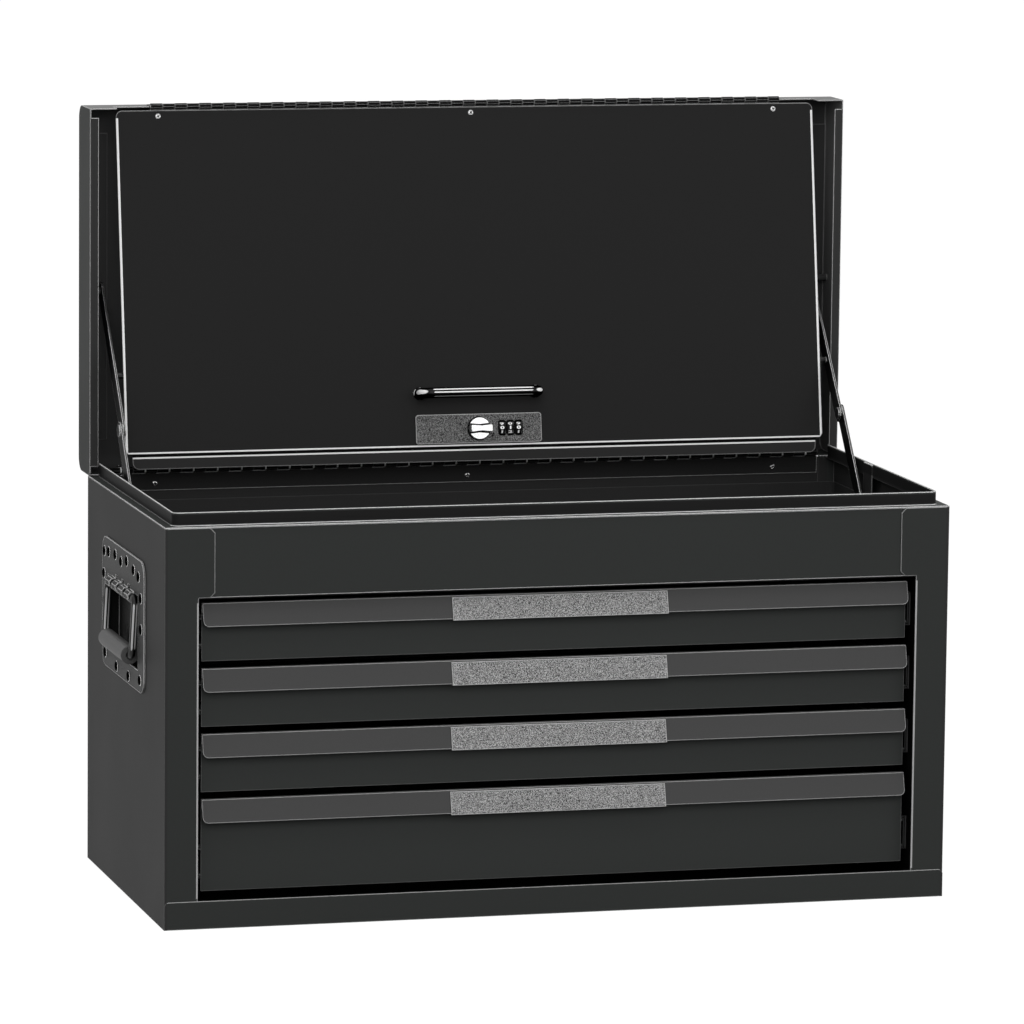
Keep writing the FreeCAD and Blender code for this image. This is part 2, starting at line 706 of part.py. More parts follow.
def cover_panel():
    """Flat sheet with a joggled lip along its free edge, narrower than the posts' gap."""
    piece = Piece("cover_panel")
    skin = s.cover_steel / 2
    lip_top, lip_end = -(cover_length - s.cover_lip), -cover_length
    step = s.cover_lip_step
    wide = cover_half
    sheet_outline = rectangle((-wide, wide), (lip_top, -s.cover_top_gap))
    piece.extrude([sheet_outline], "Y", -skin, skin)
    lip = polygon([
        (-skin, lip_top), (-skin + step, lip_top - step), (-skin + step, lip_end),
        (skin + step, lip_end), (skin + step, lip_top - step), (skin, lip_top)])
    lip_wide = wide - s.cover_lip_inset
    piece.extrude([lip], "X", -lip_wide, lip_wide)

    def corner(edge):
        box = edge.BoundBox
        end = near(box.XMin, box.XMax) and box.ZLength < 0.1 and box.YLength > 0.5
        on_sheet = near(abs(box.XMin), wide)
        on_lip = near(abs(box.XMin), lip_wide) and near(box.ZMin, lip_end)
        return end and (on_sheet or on_lip)

    piece.round(s.cover_corner, corner)
    shaft = facets(0, -lock_line, s.knob_shaft + s.shaft_room * 2, 12)
    piece.extrude([shaft, dial_opening()], "Y", -skin, skin, cut=True)
    on_cover(piece)


def dial_opening():
    """Rectangle in XZ that clears all the dial wheels."""
    side = s.wheel_width / 2 + s.wheel_side_gap
    tall = s.wheel_diameter / 2 + s.wheel_side_gap
    last = s.wheel_first + s.wheel_pitch * 2
    return rectangle((s.wheel_first - side, last + side),
                     (-lock_line - tall, -lock_line + tall))


def cover_handle():
    """Round rod bent into a bow, on two round feet."""
    piece = Piece("cover_handle")
    skin = s.cover_steel / 2
    reach = -skin - s.pull_reach
    x = s.pull_span / 2
    bow = bent([(-x, -skin), (-x, reach), (x, reach), (x, -skin)], s.pull_bend)
    ring = facets(-x, -pull_line, s.pull_rod, 12)
    sweep(piece, ("XY", -pull_line), bow, ("XZ", skin), ring)
    for side in SIDES.values():
        foot = facets(x * side, -pull_line, s.pull_foot, 20)
        piece.extrude([foot], "Y", -skin - s.pull_foot_height, -skin)
    on_cover(piece)


def lock_plate():
    piece = Piece("lock_plate")
    wide, tall = s.plate_width / 2, s.plate_height / 2
    back_face = -(s.cover_steel / 2)
    front_face = back_face - s.plate_steel
    frame = rectangle((-wide, wide), (-lock_line - tall, -lock_line + tall))
    piece.extrude([frame], "Y", front_face, back_face)

    def corner(edge):
        box = edge.BoundBox
        return box.YLength > 1 and near(abs(box.XMin), wide)

    piece.round(s.plate_corner, corner)
    hole = facets(0, -lock_line, s.knob_shaft + s.bore_clearance * 2, 12)
    piece.extrude([hole], "Y", front_face, back_face, cut=True)
    windows = [dial_window(number) for number in (1, 2, 3)]
    piece.extrude(windows, "Y", front_face, back_face, cut=True)
    on_cover(piece)


def dial_window(number):
    """Slot in XZ through which one dial wheel stands out of the plate."""
    x = s.wheel_first + s.wheel_pitch * (number - 1)
    wide = s.wheel_width / 2 + s.window_gap
    tall = s.window_height / 2
    return rectangle((x - wide, x + wide), (-lock_line - tall, -lock_line + tall))


def wheel_axis():
    """Distance of the dial wheels' axle behind the middle of the cover sheet."""
    return s.wheel_diameter / 2 - s.cover_steel / 2 - s.plate_steel - s.wheel_proud


def lock_case():
    """Box behind the cover that holds the dial wheels, their axle and the knob's shaft."""
    piece = Piece("lock_case")
    inner = s.cover_steel / 2
    outer = inner + s.case_depth
    tall = s.case_height / 2
    x = (-s.case_left, s.case_right)
    z = (-lock_line - tall, -lock_line + tall)
    piece.box(x, (inner, outer), z)
    wall = s.case_wall
    left = s.wheel_first - s.wheel_width / 2 - s.wheel_side_gap
    piece.box((left, s.case_right - wall), (inner, outer - wall), (z[0] + wall, z[1] - wall),
              cut=True)
    hole = facets(0, -lock_line, s.knob_shaft + s.bore_clearance * 2, 12)
    piece.extrude([hole], "Y", inner, outer, cut=True)
    axle = circle(wheel_axis(), -lock_line, s.axle_diameter)
    piece.extrude([axle], "X", left - wall, s.case_right - wall / 2)
    on_cover(piece)


def dial_wheel(number):
    piece = Piece(f"dial_wheel_{number}")
    x = s.wheel_first + s.wheel_pitch * (number - 1)
    ends = (x - s.wheel_width / 2, x + s.wheel_width / 2)
    rim = facets(wheel_axis(), -lock_line, s.wheel_diameter, 20)
    piece.extrude([rim], "X", *ends)
    bore = facets(wheel_axis(), -lock_line, s.axle_diameter + s.bore_clearance * 2, 8)
    piece.extrude([bore], "X", *ends, cut=True)
    on_cover(piece)


def lock_knob():
    """Turned knob with a cross bar for the fingers, its shaft running through the case."""
    piece = Piece("lock_knob")
    seat = -(s.cover_steel / 2) - s.plate_steel - s.turning_gap
    tip = seat - s.knob_reach
    shaft_end = s.cover_steel / 2 + s.case_depth + s.turning_gap
    piece.extrude([facets(0, -lock_line, s.knob_diameter, 24)], "Y", tip, seat)
    rim = s.knob_diameter / 2 + s.turning_gap
    for side in (-1, 1):
        low = -lock_line + (s.knob_bar / 2) * side
        waist = -lock_line + (s.knob_waist / 2) * side
        high = -lock_line + rim * side
        notch = polygon([(-rim, low), (0, waist), (rim, low), (rim, high), (-rim, high)])
        piece.extrude([notch], "Y", tip, seat - s.knob_base, cut=True)
    piece.extrude([circle(0, -lock_line, s.knob_shaft)], "Y", seat, shaft_end)
    on_cover(piece)


def lock_cam():
    """Cam arm on the knob's shaft, jogged forward so that its tip hooks behind the rail."""
    piece = Piece("lock_cam")
    base = s.cover_steel / 2 + s.case_depth + s.turning_gap
    t = s.cam_steel
    tip = s.cover_steel / 2 + s.cam_tip_from_panel
    reach = s.plate_from_edge + s.cover_foot_gap + s.cam_hook
    jog = reach - s.cam_tip
    outline = [(0, base), (0, base + t), (-jog, base + t), (-jog, tip + t),
               (-reach, tip + t), (-reach, tip), (t - jog, tip), (t - jog, base)]
    arm = polygon(outline)
    low = -lock_line - s.cam_width / 2
    piece.extrude([arm], "Z", low, low + s.cam_width)
    hub = facets(0, -lock_line, s.cam_width, 12)
    piece.extrude([hub], "Y", base, base + t)
    on_cover(piece)


# ---------------------------------------------------------------- lid stays
def link(piece, start, end, width, x):
    """Flat steel link with round ends between two points given in Y and Z."""
    (y0, z0), (y1, z1) = start, end
    run_y, run_z = y1 - y0, z1 - z0
    length = math.hypot(run_y.number, run_z.number)
    side_y = run_z / length * (width / 2)
    side_z = run_y / length * (width / 2)
    body = polygon([(y0 - side_y, z0 + side_z), (y1 - side_y, z1 + side_z),
                    (y1 + side_y, z1 - side_z), (y0 + side_y, z0 - side_z)])
    piece.extrude([body], "X", *x)
    for y, z in (start, end):
        piece.extrude([facets(y, z, width, 16)], "X", *x)


def rivet_eye(pivot):
    """Hole that turns freely on a rivet stud."""
    return facets(*pivot, (s.rivet + s.bore_clearance) * 2, 12)


def stay_lower(name, side):
    piece = Piece(f"stay_lower_{name}")
    inner = stay_plane + s.stay_gap / 2
    outer = inner + s.stay_steel
    link(piece, box_pivot, knee, s.stay_width, across(side, inner, outer))
    piece.extrude([rivet_eye(box_pivot)], "X", *across(side, inner, outer), cut=True)
    head = facets(*knee, s.rivet_head * 2, 12)
    piece.extrude([head], "X", *across(side, outer, outer + s.steel))


def stay_upper(name, side):
    """Upper link, with the knee rivet head and the pin on which the folded cover rests."""
    piece = Piece(f"stay_upper_{name}")
    outer = stay_plane - s.stay_gap / 2
    inner = outer - s.stay_steel
    link(piece, knee, lid_pivot, s.stay_width, across(side, inner, outer))
    piece.extrude([rivet_eye(lid_pivot)], "X", *across(side, inner, outer), cut=True)
    head = facets(*knee, s.rivet_head * 2, 12)
    piece.extrude([head], "X", *across(side, inner - s.steel, inner))
    pin_z = back_pin_z + s.rest_pin_rise
    cover_y = cover_pin_y - (cover_pin_z - pin_z) * tangent(s.cover_tilt)
    standoff = s.cover_steel / 2 + s.rest_pin_gap + s.rest_pin
    pin = facets(cover_y + standoff / cosine(s.cover_tilt), pin_z, s.rest_pin * 2, 8)
    piece.extrude([pin], "X", *across(side, inner - s.rest_pin_reach, inner))


# ---------------------------------------------------------------- side handles
def bail_axis():
    """Distance from the middle, and height, of the line the bail swings on."""
    edge = recess_middle + s.recess_height / 2
    return half + s.side_plate_steel + s.bail_out, edge - s.bail_below_edge


def handle_plate(name, side):
    """Plate with a drawn recess for the fingers and a rolled barrel for the bail."""
    piece = Piece(f"handle_plate_{name}")
    outer = half + s.side_plate_steel
    mid, up = s.side_plate_back, top - s.side_plate_drop
    y = (mid - s.side_plate_length / 2, mid + s.side_plate_length / 2)
    z = (up - s.side_plate_height / 2, up + s.side_plate_height / 2)
    piece.extrude([rectangle(y, z)], "X", *across(side, half, outer))

    def corner(edge):
        box = edge.BoundBox
        return box.XLength > 1 and (near(box.YMin, y[0]) or near(box.YMin, y[1]))

    piece.round(s.side_plate_corner, corner)
    long, tall = s.recess_length / 2, s.recess_height / 2
    floor = half - s.recess_depth
    room = s.bore_clearance
    pan_y = (mid - long + room, mid + long - room)
    pan_z = (recess_middle - tall + room, recess_middle + tall - room)
    piece.extrude([rectangle(pan_y, pan_z)], "X", *across(side, floor, half))
    hollow_y = (pan_y[0] + s.steel, pan_y[1] - s.steel)
    hollow_z = (pan_z[0] + s.steel, pan_z[1] - s.steel)
    piece.extrude([rectangle(hollow_y, hollow_z)], "X",
                  *across(side, floor + s.steel, outer), cut=True)
    axis_x, axis_z = bail_axis()
    bore = s.bail_rod / math.cos(math.pi / BAIL_SIDES) + s.bore_clearance * 2
    barrel = bore + s.barrel_wall * 2
    start = mid - s.barrel_length / 2
    end = mid + s.barrel_length / 2
    piece.extrude([facets(axis_x * side, axis_z, barrel, 8)], "Y", start, end)
    strap_z = (axis_z + bore / 2, axis_z + barrel / 2)
    piece.extrude([rectangle(across(side, half, axis_x), strap_z)], "Y", start, end)
    piece.extrude([facets(axis_x * side, axis_z, bore, 8)], "Y", start, end, cut=True)
    slot_x = across(side, axis_x - barrel / 2, axis_x + barrel / 2)
    slot_z = (axis_z - barrel / 2, recess_middle + tall + s.barrel_notch)
    first = start + s.barrel_knuckle
    slot = piece.extrude([rectangle(slot_x, slot_z)], "Y", first, first + s.barrel_slot,
                         cut=True)
    pitch = s.barrel_knuckle + s.barrel_slot
    count = int((s.barrel_length.number - s.barrel_knuckle.number) / pitch.number)
    piece.repeat(slot, "Y", pitch, count)


# The bail and its grip are drawn hanging straight down from the swinging line at their
# own origin, and then turned by the lean at which they hang clear of the plate.
def on_bail(piece, side):
    axis_x, axis_z = bail_axis()
    piece.place(axis_x * side, s.side_plate_back, axis_z, ALONG_Y, -s.bail_lean * side)


def bail(name, side):
    """Round rod bent into a closed loop, through the barrel and the rubber grip."""
    piece = Piece(f"bail_{name}")
    reach, drop = s.bail_length / 2, s.bail_drop
    top_middle = (Size.of(0), Size.of(0))
    corners = [(reach, Size.of(0)), (reach, -drop), (-reach, -drop), (-reach, Size.of(0))]
    loop = [top_middle] + bent(corners, s.bail_bend, closed=True)
    rod = facets(0, 0, s.bail_rod, BAIL_SIDES)
    sweep(piece, ("YZ", 0), loop, ("XZ", 0), rod, closed=True)
    on_bail(piece, side)


def bail_grip(name, side):
    piece = Piece(f"bail_grip_{name}")
    ends = (-(s.grip_length / 2), s.grip_length / 2)
    piece.extrude([facets(0, -s.bail_drop, s.grip_diameter, 20)], "Y", *ends)
    rod = facets(0, -s.bail_drop, s.bail_rod, BAIL_SIDES)
    piece.extrude([rod], "Y", *ends, cut=True)
    on_bail(piece, side)


# ---------------------------------------------------------------- build
def build():
    bottom_pan()
    back_panel()
    front_header()
    top_rim()
    compartment_pan()
    lid_shell()
    back_hinge()
    cover_hinge()
    cover_panel()
    cover_handle()
    lock_plate()
    lock_case()
    lock_knob()
    lock_cam()
    for number in (1, 2, 3):
        dial_wheel(number)
    for name, side in SIDES.items():
        side_panel(name, side)
        slide_rack(name, side)
        stay_lower(name, side)
        stay_upper(name, side)
        handle_plate(name, side)
        bail(name, side)
        bail_grip(name, side)
    for number, level in enumerate(drawer_levels(), start=1):
        drawer_tray(number, level)
        drawer_pull(number, level)
        grip_insert(number, level)
        for name, side in SIDES.items():
            slide_middle(number, level, name, side)


def check_and_write():
    doc.recompute()
    bad = [item.Name for item in doc.Objects
           if "Invalid" in item.State or "Error" in item.State]
    bad += [item.Label for item in pieces if item.Shape.isNull() or not item.Shape.isValid()]
    if bad:
        raise RuntimeError(f"objects that failed: {bad}")
    os.makedirs("parts", exist_ok=True)
    for item in pieces:
        item.Shape.exportStep(f"parts/{item.Label}.step")
        print(item.Label, len(item.Shape.Solids), round(item.Shape.Volume, 1))


build()
check_and_write()
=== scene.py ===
import bpy, bmesh, math
from mathutils import Matrix, Vector


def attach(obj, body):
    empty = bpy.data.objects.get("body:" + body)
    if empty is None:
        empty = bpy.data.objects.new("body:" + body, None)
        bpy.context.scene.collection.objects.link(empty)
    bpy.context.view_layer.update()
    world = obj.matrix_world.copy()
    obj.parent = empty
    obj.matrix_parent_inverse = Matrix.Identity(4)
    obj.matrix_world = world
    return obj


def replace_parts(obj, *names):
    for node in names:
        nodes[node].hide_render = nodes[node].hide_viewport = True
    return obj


# Machinist tool chest in satin black powder coat: lid open, front cover folded inside it
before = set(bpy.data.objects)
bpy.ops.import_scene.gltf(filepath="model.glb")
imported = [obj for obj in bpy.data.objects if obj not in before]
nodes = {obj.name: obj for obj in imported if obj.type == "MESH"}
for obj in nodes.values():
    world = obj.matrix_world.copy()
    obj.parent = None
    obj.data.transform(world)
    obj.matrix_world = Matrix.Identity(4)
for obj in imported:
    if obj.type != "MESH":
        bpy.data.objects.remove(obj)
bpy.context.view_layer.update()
print("frame loaded:", len(nodes), "nodes")


# camera first, so that every later look is from the same place
cameraView = {
    "place": (-1.437058, -5.290948, 1.107487),
    "right": (0.965455, -0.260359, 0.010470),
    "up": (0.027399, 0.141394, 0.989574),
    "ahead": (0.259125, 0.955103, -0.143643),
    "lens": 231.982,
    "sensor": 36.0,
    "farthest": 60.0,
}


def setCamera(view):
    camera = bpy.data.objects.new("viewCamera", bpy.data.cameras.new("viewCamera"))
    bpy.context.scene.collection.objects.link(camera)
    columns = [Vector(view["right"]), Vector(view["up"]), -Vector(view["ahead"])]
    turn = Matrix(columns).transposed().to_4x4()
    camera.matrix_world = Matrix.Translation(view["place"]) @ turn
    camera.data.lens = view["lens"]
    camera.data.sensor_width = view["sensor"]
    camera.data.clip_end = view["farthest"]
    bpy.context.scene.camera = camera


setCamera(cameraView)


# shader groups shared by the finishes
def newGroup(name, inputs, outputs):
    group = bpy.data.node_groups.new(name, "ShaderNodeTree")
    for label, value in inputs.items():
        kind = "NodeSocketVector" if value is None else "NodeSocketFloat"
        socket = group.interface.new_socket(label, in_out="INPUT", socket_type=kind)
        if value is not None:
            socket.default_value = value
    for label, kind in outputs.items():
        group.interface.new_socket(label, in_out="OUTPUT", socket_type=kind)
    start = group.nodes.new("NodeGroupInput")
    end = group.nodes.new("NodeGroupOutput")
    return group, start, end


def addNode(tree, kind, settings=None, **links):
    node = tree.nodes.new(kind)
    for key, value in (settings or {}).items():
        if hasattr(node, key):
            setattr(node, key, value)
        else:
            node.inputs[key].default_value = value
    for key, source in links.items():
        name = int(key[1:]) if key[0] == "i" and key[1:].isdigit() else key
        tree.links.new(source, node.inputs[name])
    return node


def calculate(tree, operation, first, second=None):
    node = addNode(tree, "ShaderNodeMath", {"operation": operation}, i0=first)
    if second is not None:
        tree.links.new(second, node.inputs[1])
    return node.outputs[0]


# the painted edge highlight starts where the bevelled and the true normal agree by less than
# "start"
edgeSearch = {"samples": 6, "start": 0.998, "full": 0.95}


def roundedEdgeGroup():
    group, start, end = newGroup(
        "roundedEdge", {"Radius": 0.0008},
        {"Normal": "NodeSocketVector", "Edge": "NodeSocketFloat"})
    bevel = addNode(group, "ShaderNodeBevel", {"samples": edgeSearch["samples"]},
                    Radius=start.outputs["Radius"])
    surface = addNode(group, "ShaderNodeNewGeometry")
    dot = addNode(group, "ShaderNodeVectorMath", {"operation": "DOT_PRODUCT"},
                  i0=bevel.outputs[0], i1=surface.outputs["Normal"])
    mask = addNode(group, "ShaderNodeMapRange",
                   {"From Min": edgeSearch["start"], "From Max": edgeSearch["full"]},
                   i0=dot.outputs["Value"])
    group.links.new(bevel.outputs[0], end.inputs["Normal"])
    group.links.new(mask.outputs[0], end.inputs["Edge"])
    return group


def coatGrainGroup():
    group, start, end = newGroup(
        "coatGrain", {"Scale": 900.0, "Patches": 9.0},
        {"Height": "NodeSocketFloat", "Fine": "NodeSocketFloat", "Broad": "NodeSocketFloat"})
    place = addNode(group, "ShaderNodeTexCoord")
    fine = addNode(group, "ShaderNodeTexNoise", {"Detail": 2.0, "Roughness": 0.6},
                   Vector=place.outputs["Object"], Scale=start.outputs["Scale"])
    broad = addNode(group, "ShaderNodeTexNoise", {"Detail": 3.0, "Roughness": 0.5},
                    Vector=place.outputs["Object"], Scale=start.outputs["Patches"])
    group.links.new(fine.outputs[0], end.inputs["Height"])
    group.links.new(fine.outputs[0], end.inputs["Fine"])
    group.links.new(broad.outputs[0], end.inputs["Broad"])
    return group


def speckleGroup():
    group, start, end = newGroup(
        "speckle", {"Scale": 1500.0, "Low": 0.42, "High": 0.62}, {"Mask": "NodeSocketFloat"})
    place = addNode(group, "ShaderNodeTexCoord")
    noise = addNode(group, "ShaderNodeTexNoise", {"Detail": 1.0, "Roughness": 0.8},
                    Vector=place.outputs["Object"], Scale=start.outputs["Scale"])
    mask = addNode(group, "ShaderNodeMapRange", None, i0=noise.outputs[0],
                   i1=start.outputs["Low"], i2=start.outputs["High"])
    group.links.new(mask.outputs[0], end.inputs["Mask"])
    return group


def brushGroup():
    group, start, end = newGroup(
        "brushLines", {"Along": 40.0, "Across": 2600.0}, {"Mask": "NodeSocketFloat"})
    place = addNode(group, "ShaderNodeTexCoord")
    stretch = addNode(group, "ShaderNodeCombineXYZ", None, X=start.outputs["Across"],
                      Y=start.outputs["Along"], Z=start.outputs["Along"])
    scaled = addNode(group, "ShaderNodeVectorMath", {"operation": "MULTIPLY"},
                     i0=place.outputs["Object"], i1=stretch.outputs[0])
    noise = addNode(group, "ShaderNodeTexNoise", {"Scale": 1.0, "Detail": 2.0},
                    Vector=scaled.outputs[0])
    group.links.new(noise.outputs[0], end.inputs["Mask"])
    return group


def zoneGroup():
    # 1 inside a box that is the same on the left and the right of the chest
    limits = {"Inner": 0.0, "Outer": 9.0, "Front": -9.0, "Back": 9.0, "Low": -9.0, "High": 9.0}
    group, start, end = newGroup("zone", limits, {"Mask": "NodeSocketFloat"})
    place = addNode(group, "ShaderNodeTexCoord")
    parts = addNode(group, "ShaderNodeSeparateXYZ", None, i0=place.outputs["Object"])
    across = calculate(group, "ABSOLUTE", parts.outputs["X"])
    total = None
    for value, low, high in ((across, "Inner", "Outer"),
                             (parts.outputs["Y"], "Front", "Back"),
                             (parts.outputs["Z"], "Low", "High")):
        for operation, limit in (("GREATER_THAN", low), ("LESS_THAN", high)):
            test = calculate(group, operation, value, start.outputs[limit])
            total = test if total is None else calculate(group, "MULTIPLY", total, test)
    group.links.new(total, end.inputs["Mask"])
    return group


def glintGroup():
    # 1 where the surface faces one direction, for the painted highlight streaks on polished
    # rods
    group, start, end = newGroup(
        "glint", {"Toward": None, "From": 0.985, "Full": 0.995}, {"Mask": "NodeSocketFloat"})
    place = addNode(group, "ShaderNodeTexCoord")
    unit = addNode(group, "ShaderNodeVectorMath", {"operation": "NORMALIZE"},
                   i0=start.outputs["Toward"])
    dot = addNode(group, "ShaderNodeVectorMath", {"operation": "DOT_PRODUCT"},
                  i0=place.outputs["Normal"], i1=unit.outputs[0])
    mask = addNode(group, "ShaderNodeMapRange", None, i0=dot.outputs["Value"],
                   i1=start.outputs["From"], i2=start.outputs["Full"])
    group.links.new(mask.outputs[0], end.inputs["Mask"])
    return group


def combGroup():
    # 1 in a narrow band repeated along X, for the painted highlights at the ends of the hinge
    # knuckles
    group, start, end = newGroup(
        "comb", {"Start": 0.0, "Pitch": 0.02, "Share": 0.05}, {"Mask": "NodeSocketFloat"})
    place = addNode(group, "ShaderNodeTexCoord")
    parts = addNode(group, "ShaderNodeSeparateXYZ", None, i0=place.outputs["Object"])
    moved = calculate(group, "SUBTRACT", parts.outputs["X"], start.outputs["Start"])
    count = calculate(group, "DIVIDE", moved, start.outputs["Pitch"])
    part = calculate(group, "FRACT", count)
    test = calculate(group, "LESS_THAN", part, start.outputs["Share"])
    group.links.new(test, end.inputs["Mask"])
    return group


groups = {"edge": roundedEdgeGroup(), "grain": coatGrainGroup(), "speckle": speckleGroup(),
          "brush": brushGroup(), "zone": zoneGroup(), "glint": glintGroup(),
          "comb": combGroup()}
print("shader groups ready")


# finishes
def grey(value):
    return (value, value, value)


def newFinish(name, settings):
    material = bpy.data.materials.new(name)
    material.use_nodes = True
    tree = material.node_tree
    shader = tree.nodes["Principled BSDF"]
    for key, value in settings.items():
        shader.inputs[key].default_value = value
    return material, tree, shader


def placeGroup(tree, key, **values):
    node = tree.nodes.new("ShaderNodeGroup")
    node.node_tree = groups[key]
    for label, value in values.items():
        node.inputs[label].default_value = value
    return node


def mixColour(tree, factor, first, second):
    # a mix node takes its colours at sockets 6 and 7 and gives one at socket 2
    mix = tree.nodes.new("ShaderNodeMix")
    mix.data_type = "RGBA"
    tree.links.new(factor, mix.inputs["Factor"])
    for socket, value in ((mix.inputs[6], first), (mix.inputs[7], second)):
        if isinstance(value, tuple):
            socket.default_value = (*value, 1.0)
        else:
            tree.links.new(value, socket)
    return mix.outputs[2]


def span(tree, value, low, high):
    # low where the value is 0, high where it is 1
    node = tree.nodes.new("ShaderNodeMapRange")
    tree.links.new(value, node.inputs["Value"])
    node.inputs["To Min"].default_value = low
    node.inputs["To Max"].default_value = high
    return node.outputs[0]


def addBump(tree, shader, look, height, normal):
    bump = addNode(tree, "ShaderNodeBump",
                   {"Strength": look["bumpShare"], "Distance": look["bumpDepth"]},
                   Height=height, Normal=normal)
    tree.links.new(bump.outputs[0], shader.inputs["Normal"])


# edge is the colour of the painted highlight along rounded edges, edgeAmount its strength
powderCoat = {
    "colour": (0.0330, 0.0352, 0.0341), "colourLight": (0.0385, 0.0407, 0.0396),
    "edge": grey(0.62), "edgeAmount": 0.75, "edgeRadius": 0.0011,
    "roughness": (0.42, 0.52), "grainScale": 1100.0, "bumpShare": 0.05,
    "bumpDepth": 0.0002, "specular": 0.02, "zones": (),
}
# painted light: the pulls are lighter than the body coat, as their faces tilt up to the light
pullCoat = {**powderCoat, "colour": grey(0.062), "colourLight": grey(0.071)}
sideCoat = {
    **powderCoat,
    "zones": (
        # less of the painted edge highlight on the outer faces of the side panels
        {"box": {"Inner": 0.3300}, "colour": 0.0330, "edge": 0.25},
        # less of the painted edge highlight inside, near the top
        {"box": {"Outer": 0.3250, "Front": -0.1400, "Low": 0.2700}, "colour": 0.0330,
         "edge": 0.15},
        # painted highlight: a light line along the inner edges of the drawer opening
        {"box": {"Inner": 0.3035, "Outer": 0.3058, "Back": -0.1540, "Low": 0.0250,
                 "High": 0.2680}, "colour": 0.42, "edge": 1.0},
    ),
}
# the drawer trays are a little lighter than the body coat, with less of the painted edge
# highlight
trayCoat = {**powderCoat, "colour": (0.0360, 0.0384, 0.0372),
            "colourLight": (0.0418, 0.0442, 0.0430), "edgeAmount": 0.25}
# painted shade: the cover is darker than the body coat, under the lid; its edge highlights are
# painted stronger
coverCoat = {
    **powderCoat, "colour": grey(0.0185), "colourLight": grey(0.0205), "edge": grey(0.80),
    "edgeAmount": 0.95, "edgeRadius": 0.0014,
    "zones": (
        # painted highlights: white lines down both side edges
        {"box": {"Inner": 0.3061, "Low": 0.3535, "High": 0.6330}, "colour": 0.90, "edge": 1.0},
        # the lip below the bend, a little lighter and with less edge highlight
        {"box": {"High": 0.3484}, "colour": 0.0245, "edge": 0.35},
        # painted shade: a near-black band in the bend
        {"box": {"Low": 0.3496, "High": 0.3526}, "colour": 0.006, "edge": 0.0},
        # painted highlights: a bright line on each side of the bend
        {"box": {"Low": 0.3484, "High": 0.3497}, "colour": 0.80, "edge": 1.0},
        {"box": {"Low": 0.3526, "High": 0.3539}, "colour": 0.80, "edge": 1.0},
        # near the hinge, a touch lighter and with less edge highlight
        {"box": {"Low": 0.6330}, "colour": 0.0195, "edge": 0.45},
    ),
}
# the rim and the header carry the strongest painted edge highlights
rimCoat = {
    **powderCoat, "edge": grey(0.95), "edgeAmount": 1.0, "edgeRadius": 0.0012,
    "zones": (
        # painted shade inside the mouth of the compartment, with little edge highlight
        {"box": {"Outer": 0.3250, "Front": -0.1400, "High": 0.3385}, "colour": 0.0240,
         "edge": 0.15},
        # painted shade on the rim's front face between its highlights
        {"box": {"Front": -0.1545, "Low": 0.3312, "High": 0.3392}, "colour": 0.0150,
         "edge": 0.10},
    ),
}
# the lid carries painted edge highlights; its zones paint light inside it and onto its front
# wall
lidCoat = {
    **powderCoat, "edge": grey(0.75), "edgeAmount": 0.85,
    "zones": (
        # painted light inside the lid
        {"box": {"Outer": 0.3305, "Front": 0.1512, "Back": 0.1953, "Low": 0.3315,
                 "High": 0.6412}, "colour": 0.060, "edge": 0.15},
        # painted light on the inner faces of the lid's side walls
        {"box": {"Inner": 0.3305, "Outer": 0.3320, "Front": 0.1512, "Back": 0.1953,
                 "Low": 0.3315, "High": 0.6412}, "colour": 0.170, "edge": 0.15},
        # painted light: the front wall a little lighter
        {"box": {"Back": 0.1512}, "colour": 0.038, "edge": 1.0},
        # the top end a little lighter, and shineBox raises its specular there
        {"box": {"Low": 0.6416}, "colour": 0.040, "edge": 1.0},
    ),
    "shine": 0.45, "shineBox": {"Low": 0.6416},
}
# hinges: darker than the body coat, painted shade near black along the back hinge and the top
hingeCoat = {**powderCoat, "colour": grey(0.020), "colourLight": grey(0.026),
             "edge": grey(0.80), "edgeAmount": 0.85, "edgeRadius": 0.0008,
             "zones": ({"box": {"Back": 0.1545, "Low": 0.3318, "High": 0.3374},
                        "colour": 0.0040, "edge": 0.10},
                       {"box": {"Low": 0.6400}, "colour": 0.0060, "edge": 0.35}),
             # painted highlights at the knuckle ends
             "ticks": {"Start": -0.3057, "Pitch": 0.021, "Share": 0.062},
             "tickBox": {"Back": 0.1545, "Low": 0.3322, "High": 0.3368}}
# painted shade: the inside of the compartment is darker than the body coat
innerCoat = {**powderCoat, "colour": grey(0.027), "colourLight": grey(0.033),
             "edgeAmount": 0.06}


def zonedColour(tree, body, highlightShare, zones):
    # each zone gives a colour, mostly painted shade and light, and a share of the edge
    # highlight
    for zone in zones:
        place = placeGroup(tree, "zone", **zone["box"])
        body = mixColour(tree, place.outputs["Mask"], body, grey(zone["colour"]))
        share = span(tree, place.outputs["Mask"], 1.0, zone["edge"])
        highlightShare = calculate(tree, "MULTIPLY", highlightShare, share)
    return body, highlightShare


